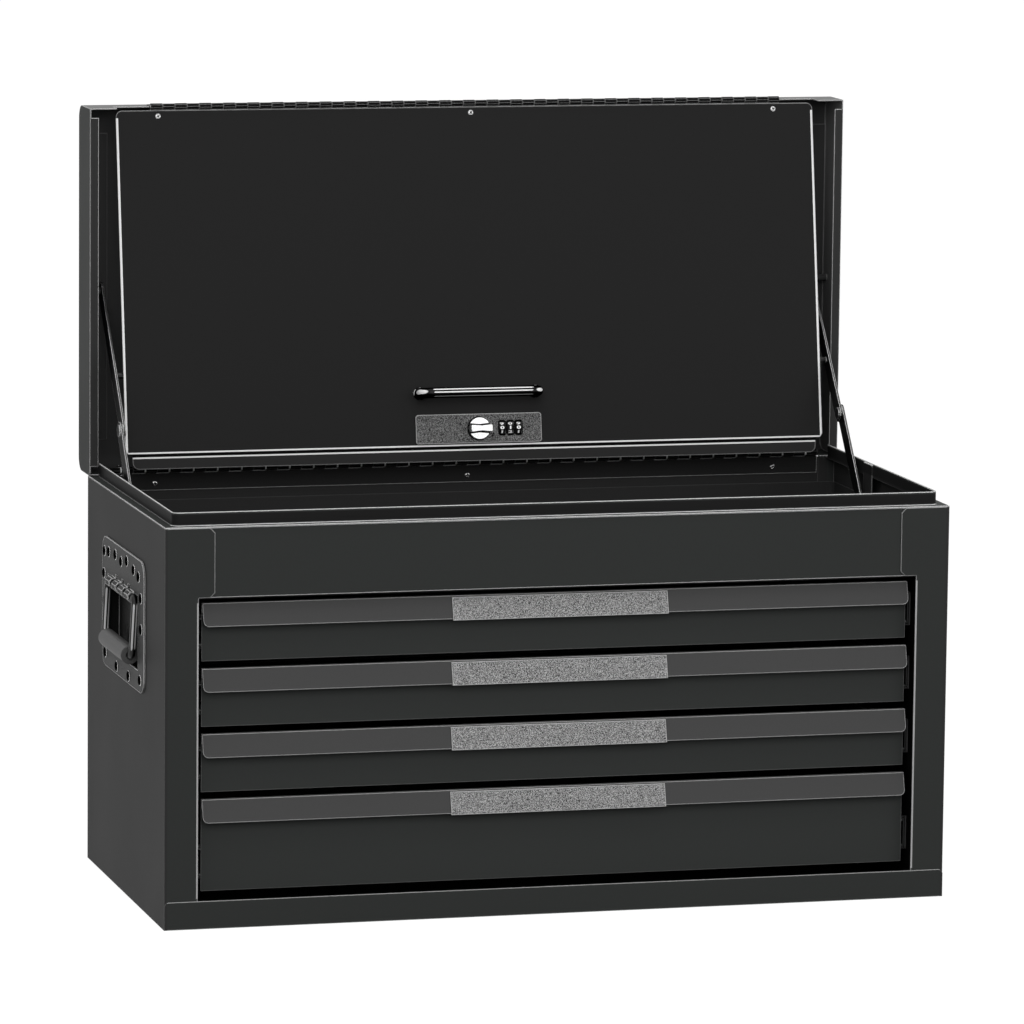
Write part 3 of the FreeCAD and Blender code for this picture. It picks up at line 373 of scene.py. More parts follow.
def coatedSteel(name, look):
    material, tree, shader = newFinish(name, {"Specular IOR Level": look["specular"]})
    edge = placeGroup(tree, "edge", Radius=look["edgeRadius"])
    grain = placeGroup(tree, "grain", Scale=look["grainScale"])
    body = mixColour(tree, grain.outputs["Fine"], look["colour"], look["colourLight"])
    highlightShare = span(tree, edge.outputs["Edge"], 0.0, look["edgeAmount"])
    body, highlightShare = zonedColour(tree, body, highlightShare, look["zones"])
    # painted highlight along the rounded edges
    body = mixColour(tree, highlightShare, body, look["edge"])
    # painted highlights at the ends of the hinge knuckles
    if "ticks" in look:
        tick = placeGroup(tree, "comb", **look["ticks"])
        band = placeGroup(tree, "zone", **look["tickBox"])
        both = calculate(tree, "MULTIPLY", tick.outputs["Mask"], band.outputs["Mask"])
        body = mixColour(tree, both, body, look["edge"])
    if "shine" in look:
        band = placeGroup(tree, "zone", **look["shineBox"])
        tree.links.new(span(tree, band.outputs["Mask"], look["specular"], look["shine"]),
                       shader.inputs["Specular IOR Level"])
    tree.links.new(body, shader.inputs["Base Color"])
    tree.links.new(span(tree, grain.outputs["Broad"], *look["roughness"]),
                   shader.inputs["Roughness"])
    addBump(tree, shader, look, grain.outputs["Height"], edge.outputs["Normal"])
    return material


# edge is the colour of the painted highlight along rounded edges
speckledGrip = {
    "dark": grey(0.010), "light": grey(0.54), "edge": grey(0.75), "edgeAmount": 0.9,
    "edgeRadius": 0.0009, "roughness": (0.42, 0.6), "scale": 1600.0, "specular": 0.2,
    "bumpShare": 0.35, "bumpDepth": 0.0003, "zones": (),
}
speckledPlate = {
    **speckledGrip, "dark": grey(0.004), "light": grey(0.26), "edge": grey(0.60),
    "edgeRadius": 0.0013, "roughness": (0.45, 0.6), "scale": 1400.0, "specular": 0.15,
}
# side handle plate with strong painted edge highlights
handlePlate = {
    **speckledGrip, "dark": grey(0.026), "light": grey(0.072), "edge": grey(0.90),
    "edgeAmount": 1.0, "edgeRadius": 0.0012, "roughness": (0.42, 0.55), "scale": 900.0,
    "specular": 0.05,
    # painted shade: the hollow of the plate near black; the parts standing out past the plate
    # face darker
    "zones": ({"box": {"Outer": 0.3326}, "colour": 0.010, "edge": 0.5},
              {"box": {"Inner": 0.3345}, "colour": 0.020, "edge": 1.0}),
}


def speckledMetal(name, look):
    material, tree, shader = newFinish(name, {"Specular IOR Level": look["specular"]})
    edge = placeGroup(tree, "edge", Radius=look["edgeRadius"])
    dots = placeGroup(tree, "speckle", Scale=look["scale"])
    body = mixColour(tree, dots.outputs["Mask"], look["dark"], look["light"])
    highlightShare = span(tree, edge.outputs["Edge"], 0.0, look["edgeAmount"])
    body, highlightShare = zonedColour(tree, body, highlightShare, look["zones"])
    # painted highlight along the rounded edges
    tree.links.new(mixColour(tree, highlightShare, body, look["edge"]), shader.inputs["Base Color"])
    tree.links.new(span(tree, dots.outputs["Mask"], *look["roughness"]),
                   shader.inputs["Roughness"])
    addBump(tree, shader, look, dots.outputs["Mask"], edge.outputs["Normal"])
    return material


# painted reflection: the chrome bow is near black for the dark room it mirrors; glints paint
# its highlights
polishedBow = {
    "colour": grey(0.012), "edge": grey(0.012), "roughness": (0.10, 0.16), "radius": 0.0025,
    "grazing": grey(0.15),
    "glints": (
        {"Toward": (0.0, -0.655, 0.756), "From": 0.988, "Full": 0.994, "colour": 0.85},
        {"Toward": (0.0, -0.968, 0.250), "From": 0.990, "Full": 0.995, "colour": 0.95},
        # painted reflection: a thin light line low on the bar
        {"Toward": (0.0, -0.830, -0.558), "From": 0.990, "Full": 0.997, "colour": 0.22},
        {"Toward": (-0.80, -0.50, 0.33), "From": 0.89, "Full": 0.94, "colour": 0.95},
        {"Toward": (-0.93, -0.20, 0.30), "From": 0.84, "Full": 0.91, "colour": 0.95},
        {"Toward": (0.66, -0.70, 0.27), "From": 0.92, "Full": 0.96, "colour": 0.95},
    ),
}
turnedKnob = {"colour": grey(0.90), "edge": grey(0.90), "roughness": (0.18, 0.28),
              "radius": 0.0005}
zincPlate = {"colour": grey(0.34), "edge": grey(0.90), "roughness": (0.30, 0.42),
             "radius": 0.0009}
# painted shade: the pin ends inside the stays are dark; edges take the painted highlight
stayZinc = {**zincPlate, "colour": grey(0.055), "radius": 0.0006, "grazing": grey(0.45),
            "zones": ({"box": {"Outer": 0.3132}, "colour": 0.03, "edge": 0.0},)}
nickelScrew = {"colour": grey(0.40), "edge": grey(0.90), "roughness": (0.16, 0.26),
               "radius": 0.0004}
# the glints paint highlight streaks down the bail arms
darkRod = {
    "colour": grey(0.030), "edge": grey(0.05), "roughness": (0.28, 0.38), "radius": 0.0016,
    "glints": (
        {"Toward": (-0.45, -0.88, 0.1), "From": 0.95, "Full": 0.985, "colour": 0.60},
        {"Toward": (0.45, -0.88, 0.1), "From": 0.95, "Full": 0.985, "colour": 0.60},
    ),
}
# painted shade: the drawer slides are made dark, as they sit in the shade of the gaps
slideSteel = {"colour": grey(0.030), "edge": grey(0.06), "grazing": grey(0.4),
              "roughness": (0.35, 0.5), "radius": 0.0006}
# brushed metal runs between its colour and this share of it
brushShade = 0.86


def plainMetal(name, look):
    grazing = look.get("grazing", grey(1.0))
    material, tree, shader = newFinish(name, {"Metallic": 1.0,
                                              "Specular Tint": (*grazing, 1.0)})
    edge = placeGroup(tree, "edge", Radius=look["radius"])
    brush = placeGroup(tree, "brush")
    shade = tuple(value * brushShade for value in look["colour"])
    body = mixColour(tree, brush.outputs["Mask"], shade, look["colour"])
    body, highlightShare = zonedColour(tree, body, edge.outputs["Edge"], look.get("zones", ()))
    # painted highlight along the rounded edges
    body = mixColour(tree, highlightShare, body, look["edge"])
    shine = None
    # painted highlight streaks and painted reflections on polished rods
    for glint in look.get("glints", ()):
        limits = {key: glint[key] for key in ("Toward", "From", "Full")}
        streak = placeGroup(tree, "glint", **limits).outputs["Mask"]
        body = mixColour(tree, streak, body, grey(glint["colour"]))
        shine = streak if shine is None else calculate(tree, "MAXIMUM", shine, streak)
    if shine is not None:
        # the painted highlight streaks are not metallic, so they keep their tone at every
        # angle
        tree.links.new(span(tree, shine, 1.0, 0.0), shader.inputs["Metallic"])
    tree.links.new(body, shader.inputs["Base Color"])
    tree.links.new(span(tree, brush.outputs["Mask"], *look["roughness"]),
                   shader.inputs["Roughness"])
    tree.links.new(edge.outputs["Normal"], shader.inputs["Normal"])
    return material


mouldedRubber = {
    "colour": grey(0.055), "light": grey(0.075), "roughness": (0.5, 0.62), "specular": 0.35,
    "edgeRadius": 0.0012, "grain": {"Scale": 1600.0, "Patches": 60.0},
    "bumpShare": 0.15, "bumpDepth": 0.0003,
}


def rubberGrip(name, look):
    material, tree, shader = newFinish(name, {"Specular IOR Level": look["specular"]})
    edge = placeGroup(tree, "edge", Radius=look["edgeRadius"])
    grain = placeGroup(tree, "grain", **look["grain"])
    tree.links.new(mixColour(tree, grain.outputs["Broad"], look["colour"], look["light"]),
                   shader.inputs["Base Color"])
    tree.links.new(span(tree, grain.outputs["Fine"], *look["roughness"]),
                   shader.inputs["Roughness"])
    addBump(tree, shader, look, grain.outputs["Height"], edge.outputs["Normal"])
    return material


dialPlastic = {"dark": grey(0.004), "light": grey(0.007), "roughness": (0.3, 0.4),
               "specular": 0.1, "grain": {"Scale": 2200.0, "Patches": 80.0}}
whitePaint = {**dialPlastic, "dark": grey(0.92), "light": grey(0.98),
              "roughness": (0.4, 0.5), "specular": 0.3}
# near black: painted shade in screw recesses, knob lines, knob ring, window surrounds; also
# index mark, rivet heads
darkHole = {**dialPlastic, "dark": grey(0.0025), "light": grey(0.0035),
            "roughness": (0.7, 0.8), "specular": 0.0}


def mouldedPlastic(name, look):
    material, tree, shader = newFinish(name, {"Specular IOR Level": look["specular"]})
    grain = placeGroup(tree, "grain", **look["grain"])
    tree.links.new(mixColour(tree, grain.outputs["Fine"], look["dark"], look["light"]),
                   shader.inputs["Base Color"])
    tree.links.new(span(tree, grain.outputs["Broad"], *look["roughness"]),
                   shader.inputs["Roughness"])
    return material


finishes = {
    "coat": coatedSteel("satinPowderCoat", powderCoat),
    "tray": coatedSteel("drawerPowderCoat", trayCoat),
    "pull": coatedSteel("pullPowderCoat", pullCoat),
    "cover": coatedSteel("coverPowderCoat", coverCoat),
    "side": coatedSteel("sidePowderCoat", sideCoat),
    "rim": coatedSteel("rimPowderCoat", rimCoat),
    "lid": coatedSteel("lidPowderCoat", lidCoat),
    "hinge": coatedSteel("hingePowderCoat", hingeCoat),
    "inner": coatedSteel("innerPowderCoat", innerCoat),
    "insert": speckledMetal("speckledGripStrip", speckledGrip),
    "lockPlate": speckledMetal("speckledLockPlate", speckledPlate),
    "handlePlate": speckledMetal("sideHandlePlate", handlePlate),
    "bow": plainMetal("polishedHandleBow", polishedBow),
    "knob": plainMetal("turnedBrightKnob", turnedKnob),
    "zinc": plainMetal("zincPlatedSteel", zincPlate),
    "stay": plainMetal("zincPlatedStay", stayZinc),
    "screw": plainMetal("brightScrewHead", nickelScrew),
    "rod": plainMetal("darkBailRod", darkRod),
    "slide": plainMetal("darkSlideSteel", slideSteel),
    "rubber": rubberGrip("handleGripRubber", mouldedRubber),
    "dial": mouldedPlastic("dialWheelPlastic", dialPlastic),
    "mark": mouldedPlastic("whiteFigures", whitePaint),
    "hole": mouldedPlastic("darkHole", darkHole),
}


def finishOf(name):
    if "_slide_" in name or name.startswith("slide_rack"):
        return "slide"
    if name.startswith("stay_"):
        return "stay"
    if name.endswith("_pin") or name in ("lock_case", "lock_cam"):
        return "zinc"
    if name.endswith("grip_insert"):
        return "insert"
    if name.endswith("_pull"):
        return "pull"
    if name.endswith("_tray"):
        return "tray"
    special = {"lock_plate": "lockPlate", "lock_knob": "knob", "cover_handle": "bow",
               "compartment_pan": "inner", "back_panel": "inner", "cover_panel": "cover",
               "top_rim": "rim", "front_header": "rim", "lid_shell": "lid",
               "side_panel_left": "side", "side_panel_right": "side", "bottom_pan": "side"}
    if name in special:
        return special[name]
    for start, finish in (("handle_plate", "handlePlate"), ("bail_grip", "rubber"),
                          ("bail_", "rod"), ("dial_wheel", "dial"),
                          ("back_hinge", "hinge"), ("cover_hinge", "hinge")):
        if name.startswith(start):
            return finish
    return "coat"


for name, node in nodes.items():
    for slot in node.material_slots:
        slot.material = finishes[finishOf(name)]
print("finishes placed")


# small parts made here
def newPiece(name, mesh, finish, body):
    piece = bpy.data.objects.new(name, mesh)
    bpy.context.scene.collection.objects.link(piece)
    if not mesh.materials:
        mesh.materials.append(finishes[finish])
    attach(piece, body)
    return piece


def roundPath(radius, sides):
    turns = [2 * math.pi * i / sides for i in range(sides)]
    return [(radius * math.cos(turn), radius * math.sin(turn)) for turn in turns]


def turnedBands(target, profile, sides, place):
    # one ring of points for each radius and rise, and a band of faces between rings
    rings = [[target.verts.new(place(x, y, rise)) for x, y in roundPath(radius, sides)]
             for radius, rise in profile]
    bands = []
    for low, high in zip(rings, rings[1:]):
        after = [(i + 1) % sides for i in range(sides)]
        bands.append([target.faces.new((low[i], low[after[i]], high[after[i]], high[i]))
                      for i in range(sides)])
    return rings, bands


def standing(x, y, z):
    return (x, y, z)


# the recess is cut by a cross that stands over the dome and reaches a little under its depth
crossScrew = {"radius": 0.0025, "dome": 0.0010, "skirt": 0.00025, "steps": 6, "close": 0.92,
              "sides": 28, "recess": 0.0017, "blade": 0.00050, "depth": 0.0007,
              "over": 0.0006, "under": 0.0003, "taper": 0.7, "shadeTop": 0.0004}


def screwMesh(look):
    mesh = bpy.data.meshes.new("crossScrewHead")
    head = bmesh.new()
    profile = []
    for step in range(look["steps"]):
        lean = math.pi / 2 * step / look["steps"]
        profile.append((look["radius"] * math.cos(lean * look["close"]),
                        look["dome"] * math.sin(lean) + (look["skirt"] if step else 0.0)))
    rings, _ = turnedBands(head, profile, look["sides"], standing)
    head.faces.new(rings[-1])
    head.faces.new(list(reversed(rings[0])))
    head.to_mesh(mesh)
    head.free()
    return mesh


def crossRecess(look):
    mesh = bpy.data.meshes.new("crossRecess")
    cross = bmesh.new()
    top = look["dome"] + look["over"]
    low = top - look["depth"] - look["under"]
    for along, across in ((look["recess"], look["blade"]), (look["blade"], look["recess"])):
        corners = [(-along, -across), (along, -across), (along, across), (-along, across)]
        base = [cross.verts.new((x * look["taper"], y * look["taper"], low))
                for x, y in corners]
        lid = [cross.verts.new((x, y, top)) for x, y in corners]
        cross.faces.new(list(reversed(base)))
        cross.faces.new(lid)
        for i in range(4):
            cross.faces.new((base[i], base[(i + 1) % 4], lid[(i + 1) % 4], lid[i]))
    cross.to_mesh(mesh)
    cross.free()
    return mesh


def cutScrew(look):
    head = bpy.data.objects.new("screwBlank", screwMesh(look))
    tool = bpy.data.objects.new("screwCutter", crossRecess(look))
    for item in (head, tool):
        bpy.context.scene.collection.objects.link(item)
    cut = head.modifiers.new("cross", "BOOLEAN")
    cut.object = tool
    cut.solver = "EXACT"
    cut.use_self = True
    graph = bpy.context.evaluated_depsgraph_get()
    mesh = bpy.data.meshes.new_from_object(head.evaluated_get(graph))
    mesh.name = "crossScrew"
    bpy.data.objects.remove(head)
    bpy.data.objects.remove(tool)
    mesh.materials.clear()
    mesh.materials.append(finishes["screw"])
    mesh.materials.append(finishes["hole"])
    # painted shade: the faces deep in the cross recess take the near-black finish
    floor = look["dome"] + look["over"] - look["under"] - look["depth"]
    for face in mesh.polygons:
        middle = face.center
        inside = math.hypot(middle.x, middle.y) < look["recess"]
        face.material_index = 1 if inside and middle.z < floor + look["shadeTop"] else 0
    return mesh


screwHead = cutScrew(crossScrew)


def facing(outward):
    return Vector(outward).normalized().to_track_quat("Z", "Y").to_matrix().to_4x4()


def placeScrew(name, place, outward, body, turn):
    piece = bpy.data.objects.new(name, screwHead)
    bpy.context.scene.collection.objects.link(piece)
    spin = Matrix.Rotation(turn, 4, "Z")
    piece.matrix_world = Matrix.Translation(place) @ facing(outward) @ spin
    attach(piece, body)


# the cover hangs from its hinge at this line and leans by this angle
coverFrame = {"line": (0.0, 0.1624, 0.6424), "lean": math.radians(9)}


def onCover(x, out, down):
    lean = coverFrame["lean"]
    _, y, z = coverFrame["line"]
    return Vector((x, y - out * math.cos(lean) - down * math.sin(lean),
                   z + out * math.sin(lean) - down * math.cos(lean)))


coverOut = Vector((0, -math.cos(coverFrame["lean"]), math.sin(coverFrame["lean"])))

# every screw head is turned by its own angle, as on a chest put together by hand
hingeScrews = {"across": (-0.275, 0.0, 0.275), "height": 0.322, "face": 0.1541,
               "turns": (0.0, 0.4, 0.8),
               "coverAcross": (-0.2716, 0.0016, 0.2725), "coverDown": 0.0083,
               "coverFace": 0.0, "coverTurns": (0.2, 0.9, 1.6)}
for i, x in enumerate(hingeScrews["across"]):
    placeScrew(f"bodyHingeScrew{i + 1}", (x, hingeScrews["face"], hingeScrews["height"]),
               (0, -1, 0), "cabinet", hingeScrews["turns"][i])
for i, x in enumerate(hingeScrews["coverAcross"]):
    placeScrew(f"coverHingeScrew{i + 1}",
               onCover(x, hingeScrews["coverFace"], hingeScrews["coverDown"]), coverOut,
               "cover", hingeScrews["coverTurns"][i])

loneScrews = {
    "lidWallScrew": {"at": (-0.2993, 0.1870, 0.3320), "outward": (0, -0.2, 1),
                     "body": "lid", "turn": 0.5},
    "bodyHingeScrew4": {"at": (-0.3043, 0.1541, 0.3307), "outward": (0, -1, 0),
                        "body": "cabinet", "turn": 0.9},
}
for name, look in loneScrews.items():
    placeScrew(name, look["at"], look["outward"], look["body"], look["turn"])

# rivets are at (y, z) in millimetres; rim and head are shares of each radius and the height
sidePlate = {
    "rivets": ((77.2, 277.2), (59.7, 278.9), (32.9, 280.5), (9.4, 278.2), (-13.4, 282.0),
               (-40.9, 278.5), (-60.4, 275.7), (79.0, 258.3), (77.5, 234.9), (73.5, 191.8),
               (-69.5, 259.2), (-70.3, 233.6), (-66.5, 191.0), (27.1, 187.4), (-21.0, 187.0)),
    "face": 0.334, "radius": 0.0047, "ring": 0.0042, "height": 0.0014, "sides": 24,
    "rim": ((1.0, 0.0), (0.97, 0.2)),
    "head": ((1.0, 0.22), (0.94, 0.62), (0.72, 0.9), (0.40, 1.0)),
}


def rivetMesh(look):
    # a dished ring with a dark domed head inside it
    mesh = bpy.data.meshes.new("plateRivet")
    rivet = bmesh.new()
    outlines = ((look["radius"], look["rim"]), (look["ring"], look["head"]))
    profile = [(radius * share, look["height"] * rise)
               for radius, outline in outlines for share, rise in outline]
    rings, bands = turnedBands(rivet, profile, look["sides"], standing)
    for band in bands[len(look["rim"]):]:
        for face in band:
            face.material_index = 1
    rivet.faces.new(rings[-1]).material_index = 1
    rivet.faces.new(list(reversed(rings[0])))
    rivet.to_mesh(mesh)
    rivet.free()
    mesh.materials.append(finishes["screw"])
    mesh.materials.append(finishes["hole"])
    return mesh


rivetHead = rivetMesh(sidePlate)
for side, sign in (("left", -1), ("right", 1)):
    for i, (y, z) in enumerate(sidePlate["rivets"]):
        piece = bpy.data.objects.new(f"{side}PlateRivet{i + 1}", rivetHead)
        bpy.context.scene.collection.objects.link(piece)
        place = (sign * sidePlate["face"], y / 1000, z / 1000)
        piece.matrix_world = Matrix.Translation(place) @ facing((sign, 0, 0))
        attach(piece, "cabinet")
print("screws and rivets placed")


# smooth bent rods in place of the faceted ones: the bow on the cover and both bails
def roundedPath(points, bend, steps=10):
    path = [points[0]]
    for before, corner, after in zip(points, points[1:], points[2:]):
        inward = (before - corner).normalized()
        onward = (after - corner).normalized()
        middle = corner + (inward + onward) * bend
        for step in range(steps + 1):
            turn = math.pi / 2 * step / steps
            path.append(middle - onward * bend * math.cos(turn)
                        - inward * bend * math.sin(turn))
    return path + [points[-1]]


def rodMesh(name, path, radius, across, closed=False, sides=28):
    # across is the direction at right angles to the plane that the rod is bent in
    mesh = bpy.data.meshes.new(name)
    rod = bmesh.new()
    count = len(path)
    rings = []
    for i, point in enumerate(path):
        before = path[i - 1] if i or closed else point
        after = path[(i + 1) % count] if i < count - 1 or closed else point
        side = (after - before).normalized().cross(across).normalized()
        rings.append([rod.verts.new(point + across * radius * math.cos(2 * math.pi * k / sides)
                                    + side * radius * math.sin(2 * math.pi * k / sides))
                      for k in range(sides)])
    for low, high in zip(rings, rings[1:] + (rings[:1] if closed else [])):
        for k in range(sides):
            after = (k + 1) % sides
            rod.faces.new((low[k], low[after], high[after], high[k])).smooth = True
    if not closed:
        rod.faces.new(rings[0])
        rod.faces.new(list(reversed(rings[-1])))
    bmesh.ops.recalc_face_normals(rod, faces=rod.faces[:])
    rod.to_mesh(mesh)
    rod.free()
    return mesh


# the bow stands on two turned feet; shoulder, top and neck are shares of their sizes
bow = {"half": 0.051, "base": 0.0005, "reach": 0.0185, "down": 0.2480, "bend": 0.009,
       "radius": 0.0045, "foot": 0.0055, "footTall": 0.0020, "footSides": 28,
       "footShoulder": 0.7, "footTop": 0.92, "footNeck": 0.9}
bail = {"axis": 0.335, "middle": 0.0035, "height": 0.2561, "half": 0.055, "drop": 0.048,
        "bend": 0.008, "radius": 0.0030, "lean": math.radians(3)}


def bowMesh(look):
    corners = [onCover(x, out, look["down"]) for x, out in
               ((-look["half"], look["base"]), (-look["half"], look["reach"]),
                (look["half"], look["reach"]), (look["half"], look["base"]))]
    down = (onCover(0, 0, 1) - onCover(0, 0, 0)).normalized()
    joined = bmesh.new()
    mesh = rodMesh("coverBow", roundedPath(corners, look["bend"]), look["radius"], down)
    joined.from_mesh(mesh)
    outline = ((look["foot"], 0.0), (look["foot"], look["footShoulder"]),
               (look["foot"] * look["footTop"], 1.0), (look["radius"] * look["footNeck"], 1.0))
    for middle in (-look["half"], look["half"]):
        def place(x, z, rise):
            return onCover(middle + x, look["base"] + rise * look["footTall"],
                           look["down"] + z)
        rings, bands = turnedBands(joined, outline, look["footSides"], place)
        for band in bands:
            for face in band:
                face.smooth = True
        joined.faces.new(rings[0])
        joined.faces.new(list(reversed(rings[-1])))
    bmesh.ops.recalc_face_normals(joined, faces=joined.faces[:])
    joined.to_mesh(mesh)
    joined.free()
    return mesh


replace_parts(newPiece("coverBow", bowMesh(bow), "bow", "cover"), "cover_handle")


def bailMesh(name, sign, look):
    def place(along, drop):
        return Vector((sign * (look["axis"] + drop * math.sin(look["lean"])),
                       look["middle"] + along, look["height"] - drop * math.cos(look["lean"])))
    half, drop = look["half"], look["drop"]
    corners = [place(0, 0), place(half, 0), place(half, drop), place(-half, drop),
               place(-half, 0), place(0, 0)]
    path = roundedPath(corners, look["bend"])[:-1]
    across = (place(1, 0) - place(0, 0)).cross(place(0, 1) - place(0, 0)).normalized()
    return rodMesh(name, path, look["radius"], across, closed=True)


for side, sign in (("left", -1), ("right", 1)):
    name = f"{side}BailRod"
    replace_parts(newPiece(name, bailMesh(name, sign, bail), "rod", f"side_bail_{side}"),
                f"bail_{side}")
print("smooth rods made")


# the middle line of the lock, measured down the cover from its hinge
lockDown = 0.2788

# figures on the dial wheels
dialFigures = {"first": 0.0206, "pitch": 0.0073, "down": lockDown, "behind": -0.0032,
               "radius": 0.00605, "size": 0.0037, "wide": 1.90, "bold": 0.00018,
               "thick": 0.00002, "detail": 3, "weld": 0.0000003, "count": 10,
               "step": math.radians(36), "shown": (0, 1, 0)}


def figureMesh(text, look):
    curve = bpy.data.curves.new("figure" + text, "FONT")
    curve.body = text
    curve.size = look["size"]
    curve.align_x = "CENTER"
    curve.align_y = "CENTER"
    curve.extrude = look["thick"]
    curve.resolution_u = look["detail"]
    curve.offset = look["bold"]
    item = bpy.data.objects.new("figure" + text, curve)
    bpy.context.scene.collection.objects.link(item)
    graph = bpy.context.evaluated_depsgraph_get()
    mesh = bpy.data.meshes.new_from_object(item.evaluated_get(graph))
    bpy.data.objects.remove(item)
    return mesh


def dialMiddle(number):
    return dialFigures["first"] + dialFigures["pitch"] * (number - 1)


def dialRing(number, look):
    ring = bmesh.new()
    centre = onCover(dialMiddle(number), look["behind"], look["down"])
    upright = Matrix.Rotation(math.pi / 2, 4, "X") @ Matrix.Scale(look["wide"], 4, (1, 0, 0))
    out = Matrix.Translation((0, -look["radius"], 0))
    for figure in range(look["count"]):
        mesh = figureMesh(str(figure), look)
        turn = look["step"] * (figure - look["shown"][number - 1])
        spin = Matrix.Rotation(turn - coverFrame["lean"], 4, "X")
        mesh.transform(Matrix.Translation(centre) @ spin @ out @ upright)
        ring.from_mesh(mesh)
    bmesh.ops.remove_doubles(ring, verts=ring.verts[:], dist=look["weld"])
    mesh = bpy.data.meshes.new(f"dialFigures{number}")
    ring.to_mesh(mesh)
    ring.free()
    return mesh


for number in (1, 2, 3):
    newPiece(f"dialFigures{number}", dialRing(number, dialFigures), "mark", f"dial_{number}")

# painted shade lines beside the knob's finger bar
knobShadeLook = {"reach": 0.0087, "bar": 0.0031, "waist": 0.0022, "wide": 0.0014,
             "height": 0.0054, "thick": 0.0001, "down": lockDown, "steps": 12}


def knobLineMesh(look):
    # painted shade: dark lines at the foot of the finger bar, on both of its sides
    mesh = bpy.data.meshes.new("knobShadeLines")
    shadeStrips = bmesh.new()
    for side in (-1, 1):
        previous = None
        for step in range(look["steps"] + 1):
            across = look["reach"] * (2 * step / look["steps"] - 1)
            share = abs(across) / look["reach"]
            near = look["waist"] + (look["bar"] - look["waist"]) * share
            pair = []
            for offset in (near, near + look["wide"]):
                point = onCover(across, look["height"], look["down"] - side * offset)
                pair.append(shadeStrips.verts.new(point))
            if previous:
                shadeStrips.faces.new((previous[0], pair[0], pair[1], previous[1]))
            previous = pair
    shadeStrips.normal_update()
    bmesh.ops.solidify(shadeStrips, geom=shadeStrips.faces[:], thickness=look["thick"])
    shadeStrips.to_mesh(mesh)
    shadeStrips.free()
    return mesh


newPiece("knobShadeLines", knobLineMesh(knobShadeLook), "hole", "lock")

# painted shadow: a dark line round the knob; painted shade: the black surrounds of the three
# windows
paintedShadeRings = {"face": 0.0020, "thick": 0.00012, "down": lockDown, "knobInner": 0.00935,
             "knobOuter": 0.01035, "sides": 40, "windowWide": 0.0027, "windowTall": 0.0049,
             "windowCorner": 0.00002, "wide": 0.0036, "tall": 0.0066, "corner": 0.0014}


def flatRingMesh(name, inner, outer, look):
    mesh = bpy.data.meshes.new(name)
    ring = bmesh.new()
    section = ((inner, 0.0), (inner, look["thick"]), (outer, look["thick"]), (outer, 0.0))
    loops = [[ring.verts.new(onCover(x, look["face"] + rise, look["down"] - z))
              for x, z in path] for path, rise in section]
    count = len(inner)
    for low, high in zip(loops, loops[1:] + loops[:1]):
        for i in range(count):
            after = (i + 1) % count
            ring.faces.new((low[i], low[after], high[after], high[i]))
    bmesh.ops.recalc_face_normals(ring, faces=ring.faces[:])
    ring.to_mesh(mesh)
    ring.free()
    return mesh


def cutCornerPath(middle, wide, tall, corner):
    across, up = wide - corner, tall - corner
    corners = ((wide, -up), (wide, up), (across, tall), (-across, tall),
               (-wide, up), (-wide, -up), (-across, -tall), (across, -tall))
    return [(middle + x, z) for x, z in corners]


newPiece("knobShadowRing", flatRingMesh(
    "knobShadowRing", roundPath(paintedShadeRings["knobInner"], paintedShadeRings["sides"]),
    roundPath(paintedShadeRings["knobOuter"], paintedShadeRings["sides"]), paintedShadeRings), "hole", "cover")
for number in (1, 2, 3):
    newPiece(f"windowShadeSurround{number}", flatRingMesh(
        f"windowShadeSurround{number}",
        cutCornerPath(dialMiddle(number), paintedShadeRings["windowWide"], paintedShadeRings["windowTall"],
                      paintedShadeRings["windowCorner"]),
        cutCornerPath(dialMiddle(number), paintedShadeRings["wide"], paintedShadeRings["tall"],
                      paintedShadeRings["corner"]), paintedShadeRings), "hole", "cover")

# a short slanting line beside the knob
indexMark = {"x": 0.0122, "down": 0.2845, "face": 0.0020, "long": 0.0042, "wide": 0.0010,
             "thick": 0.0001, "round": 0.00003, "slant": 0.45}


def indexMarkMesh(look):
    mesh = bpy.data.meshes.new("indexMark")
    mark = bmesh.new()
    bmesh.ops.create_cube(mark, size=1.0)
    bmesh.ops.scale(mark, vec=(look["wide"], look["thick"], look["long"]), verts=mark.verts)
    bmesh.ops.bevel(mark, geom=mark.edges[:], offset=look["round"], segments=1,
                    affect="EDGES")
    turn = Matrix.Rotation(look["slant"], 4, "Y")
    place = Matrix.Translation(onCover(look["x"], look["face"], look["down"]))
    lean = Matrix.Rotation(-coverFrame["lean"], 4, "X")
    bmesh.ops.transform(mark, matrix=place @ lean @ turn, verts=mark.verts)
    mark.to_mesh(mesh)
    mark.free()
    return mesh


newPiece("indexMark", indexMarkMesh(indexMark), "hole", "cover")
print("lock details made")


# floor, light and background
studio = {"floorSize": 40.0, "floorDrop": 0.0002, "floorShade": 0.16, "floorRough": 0.9,
          "floorGlow": 0.93, "worldDiffuse": 0.55}


def seenRays(tree):
    # 1 for rays from the camera and for reflections, so that both meet a white backdrop
    path = addNode(tree, "ShaderNodeLightPath")
    seen = calculate(tree, "MAXIMUM", path.outputs["Is Camera Ray"],
                     path.outputs["Is Glossy Ray"])
    return path, seen


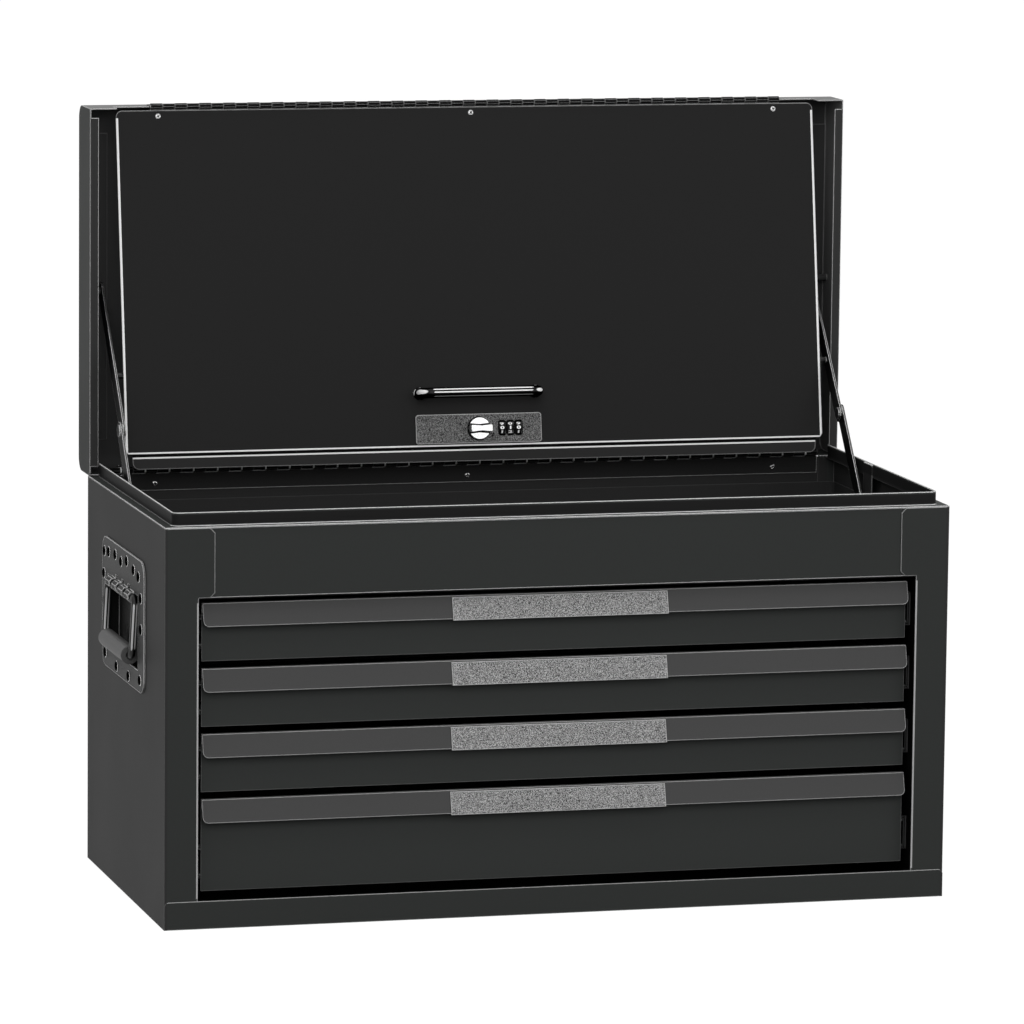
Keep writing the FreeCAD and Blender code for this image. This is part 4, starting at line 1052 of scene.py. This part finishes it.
def floorFinish(look):
    material, tree, shader = newFinish("paleFloor", {"Roughness": look["floorRough"],
                                                     "Specular IOR Level": 0.0})
    shader.inputs["Base Color"].default_value = (*grey(look["floorShade"]), 1.0)
    _, seen = seenRays(tree)
    shader.inputs["Emission Color"].default_value = (1, 1, 1, 1)
    tree.links.new(span(tree, seen, 0.0, look["floorGlow"]),
                   shader.inputs["Emission Strength"])
    return material


def makeFloor(look):
    mesh = bpy.data.meshes.new("studioFloor")
    floor = bmesh.new()
    bmesh.ops.create_grid(floor, x_segments=1, y_segments=1, size=look["floorSize"])
    floor.to_mesh(mesh)
    floor.free()
    mesh.materials.append(floorFinish(look))
    item = bpy.data.objects.new("studioFloor", mesh)
    bpy.context.scene.collection.objects.link(item)
    item.location = (0, 0, -look["floorDrop"])


makeFloor(studio)

lamps = {
    "keyFront": {"at": (-0.9, -3.2, 1.9), "aim": (0, 0, 0.3), "size": (2.4, 2.0), "power": 44},
    "fillRight": {"at": (2.4, -3.0, 1.4), "aim": (0, 0, 0.3), "size": (2.4, 2.4), "power": 30},
    "topSoft": {"at": (0.0, -0.3, 2.8), "aim": (0, 0, 0.2), "size": (2.6, 2.6), "power": 26},
}


def makeLamp(name, look):
    lamp = bpy.data.lights.new(name, "AREA")
    lamp.shape = "RECTANGLE"
    lamp.size, lamp.size_y = look["size"]
    lamp.energy = look["power"]
    item = bpy.data.objects.new(name, lamp)
    bpy.context.scene.collection.objects.link(item)
    item.location = look["at"]
    aim = Vector(look["aim"]) - Vector(look["at"])
    item.rotation_euler = aim.to_track_quat("-Z", "Y").to_euler()


for name, look in lamps.items():
    makeLamp(name, look)


def makeWorld(look):
    world = bpy.data.worlds.new("studioWorld")
    bpy.context.scene.world = world
    world.use_nodes = True
    tree = world.node_tree
    sky = tree.nodes["Background"]
    sky.inputs["Color"].default_value = (1, 1, 1, 1)
    path, seen = seenRays(tree)
    both = calculate(tree, "MAXIMUM", seen, path.outputs["Is Transmission Ray"])
    tree.links.new(span(tree, both, look["worldDiffuse"], 1.0), sky.inputs["Strength"])


makeWorld(studio)
bpy.context.scene.view_settings.view_transform = "Standard"
print("studio ready")
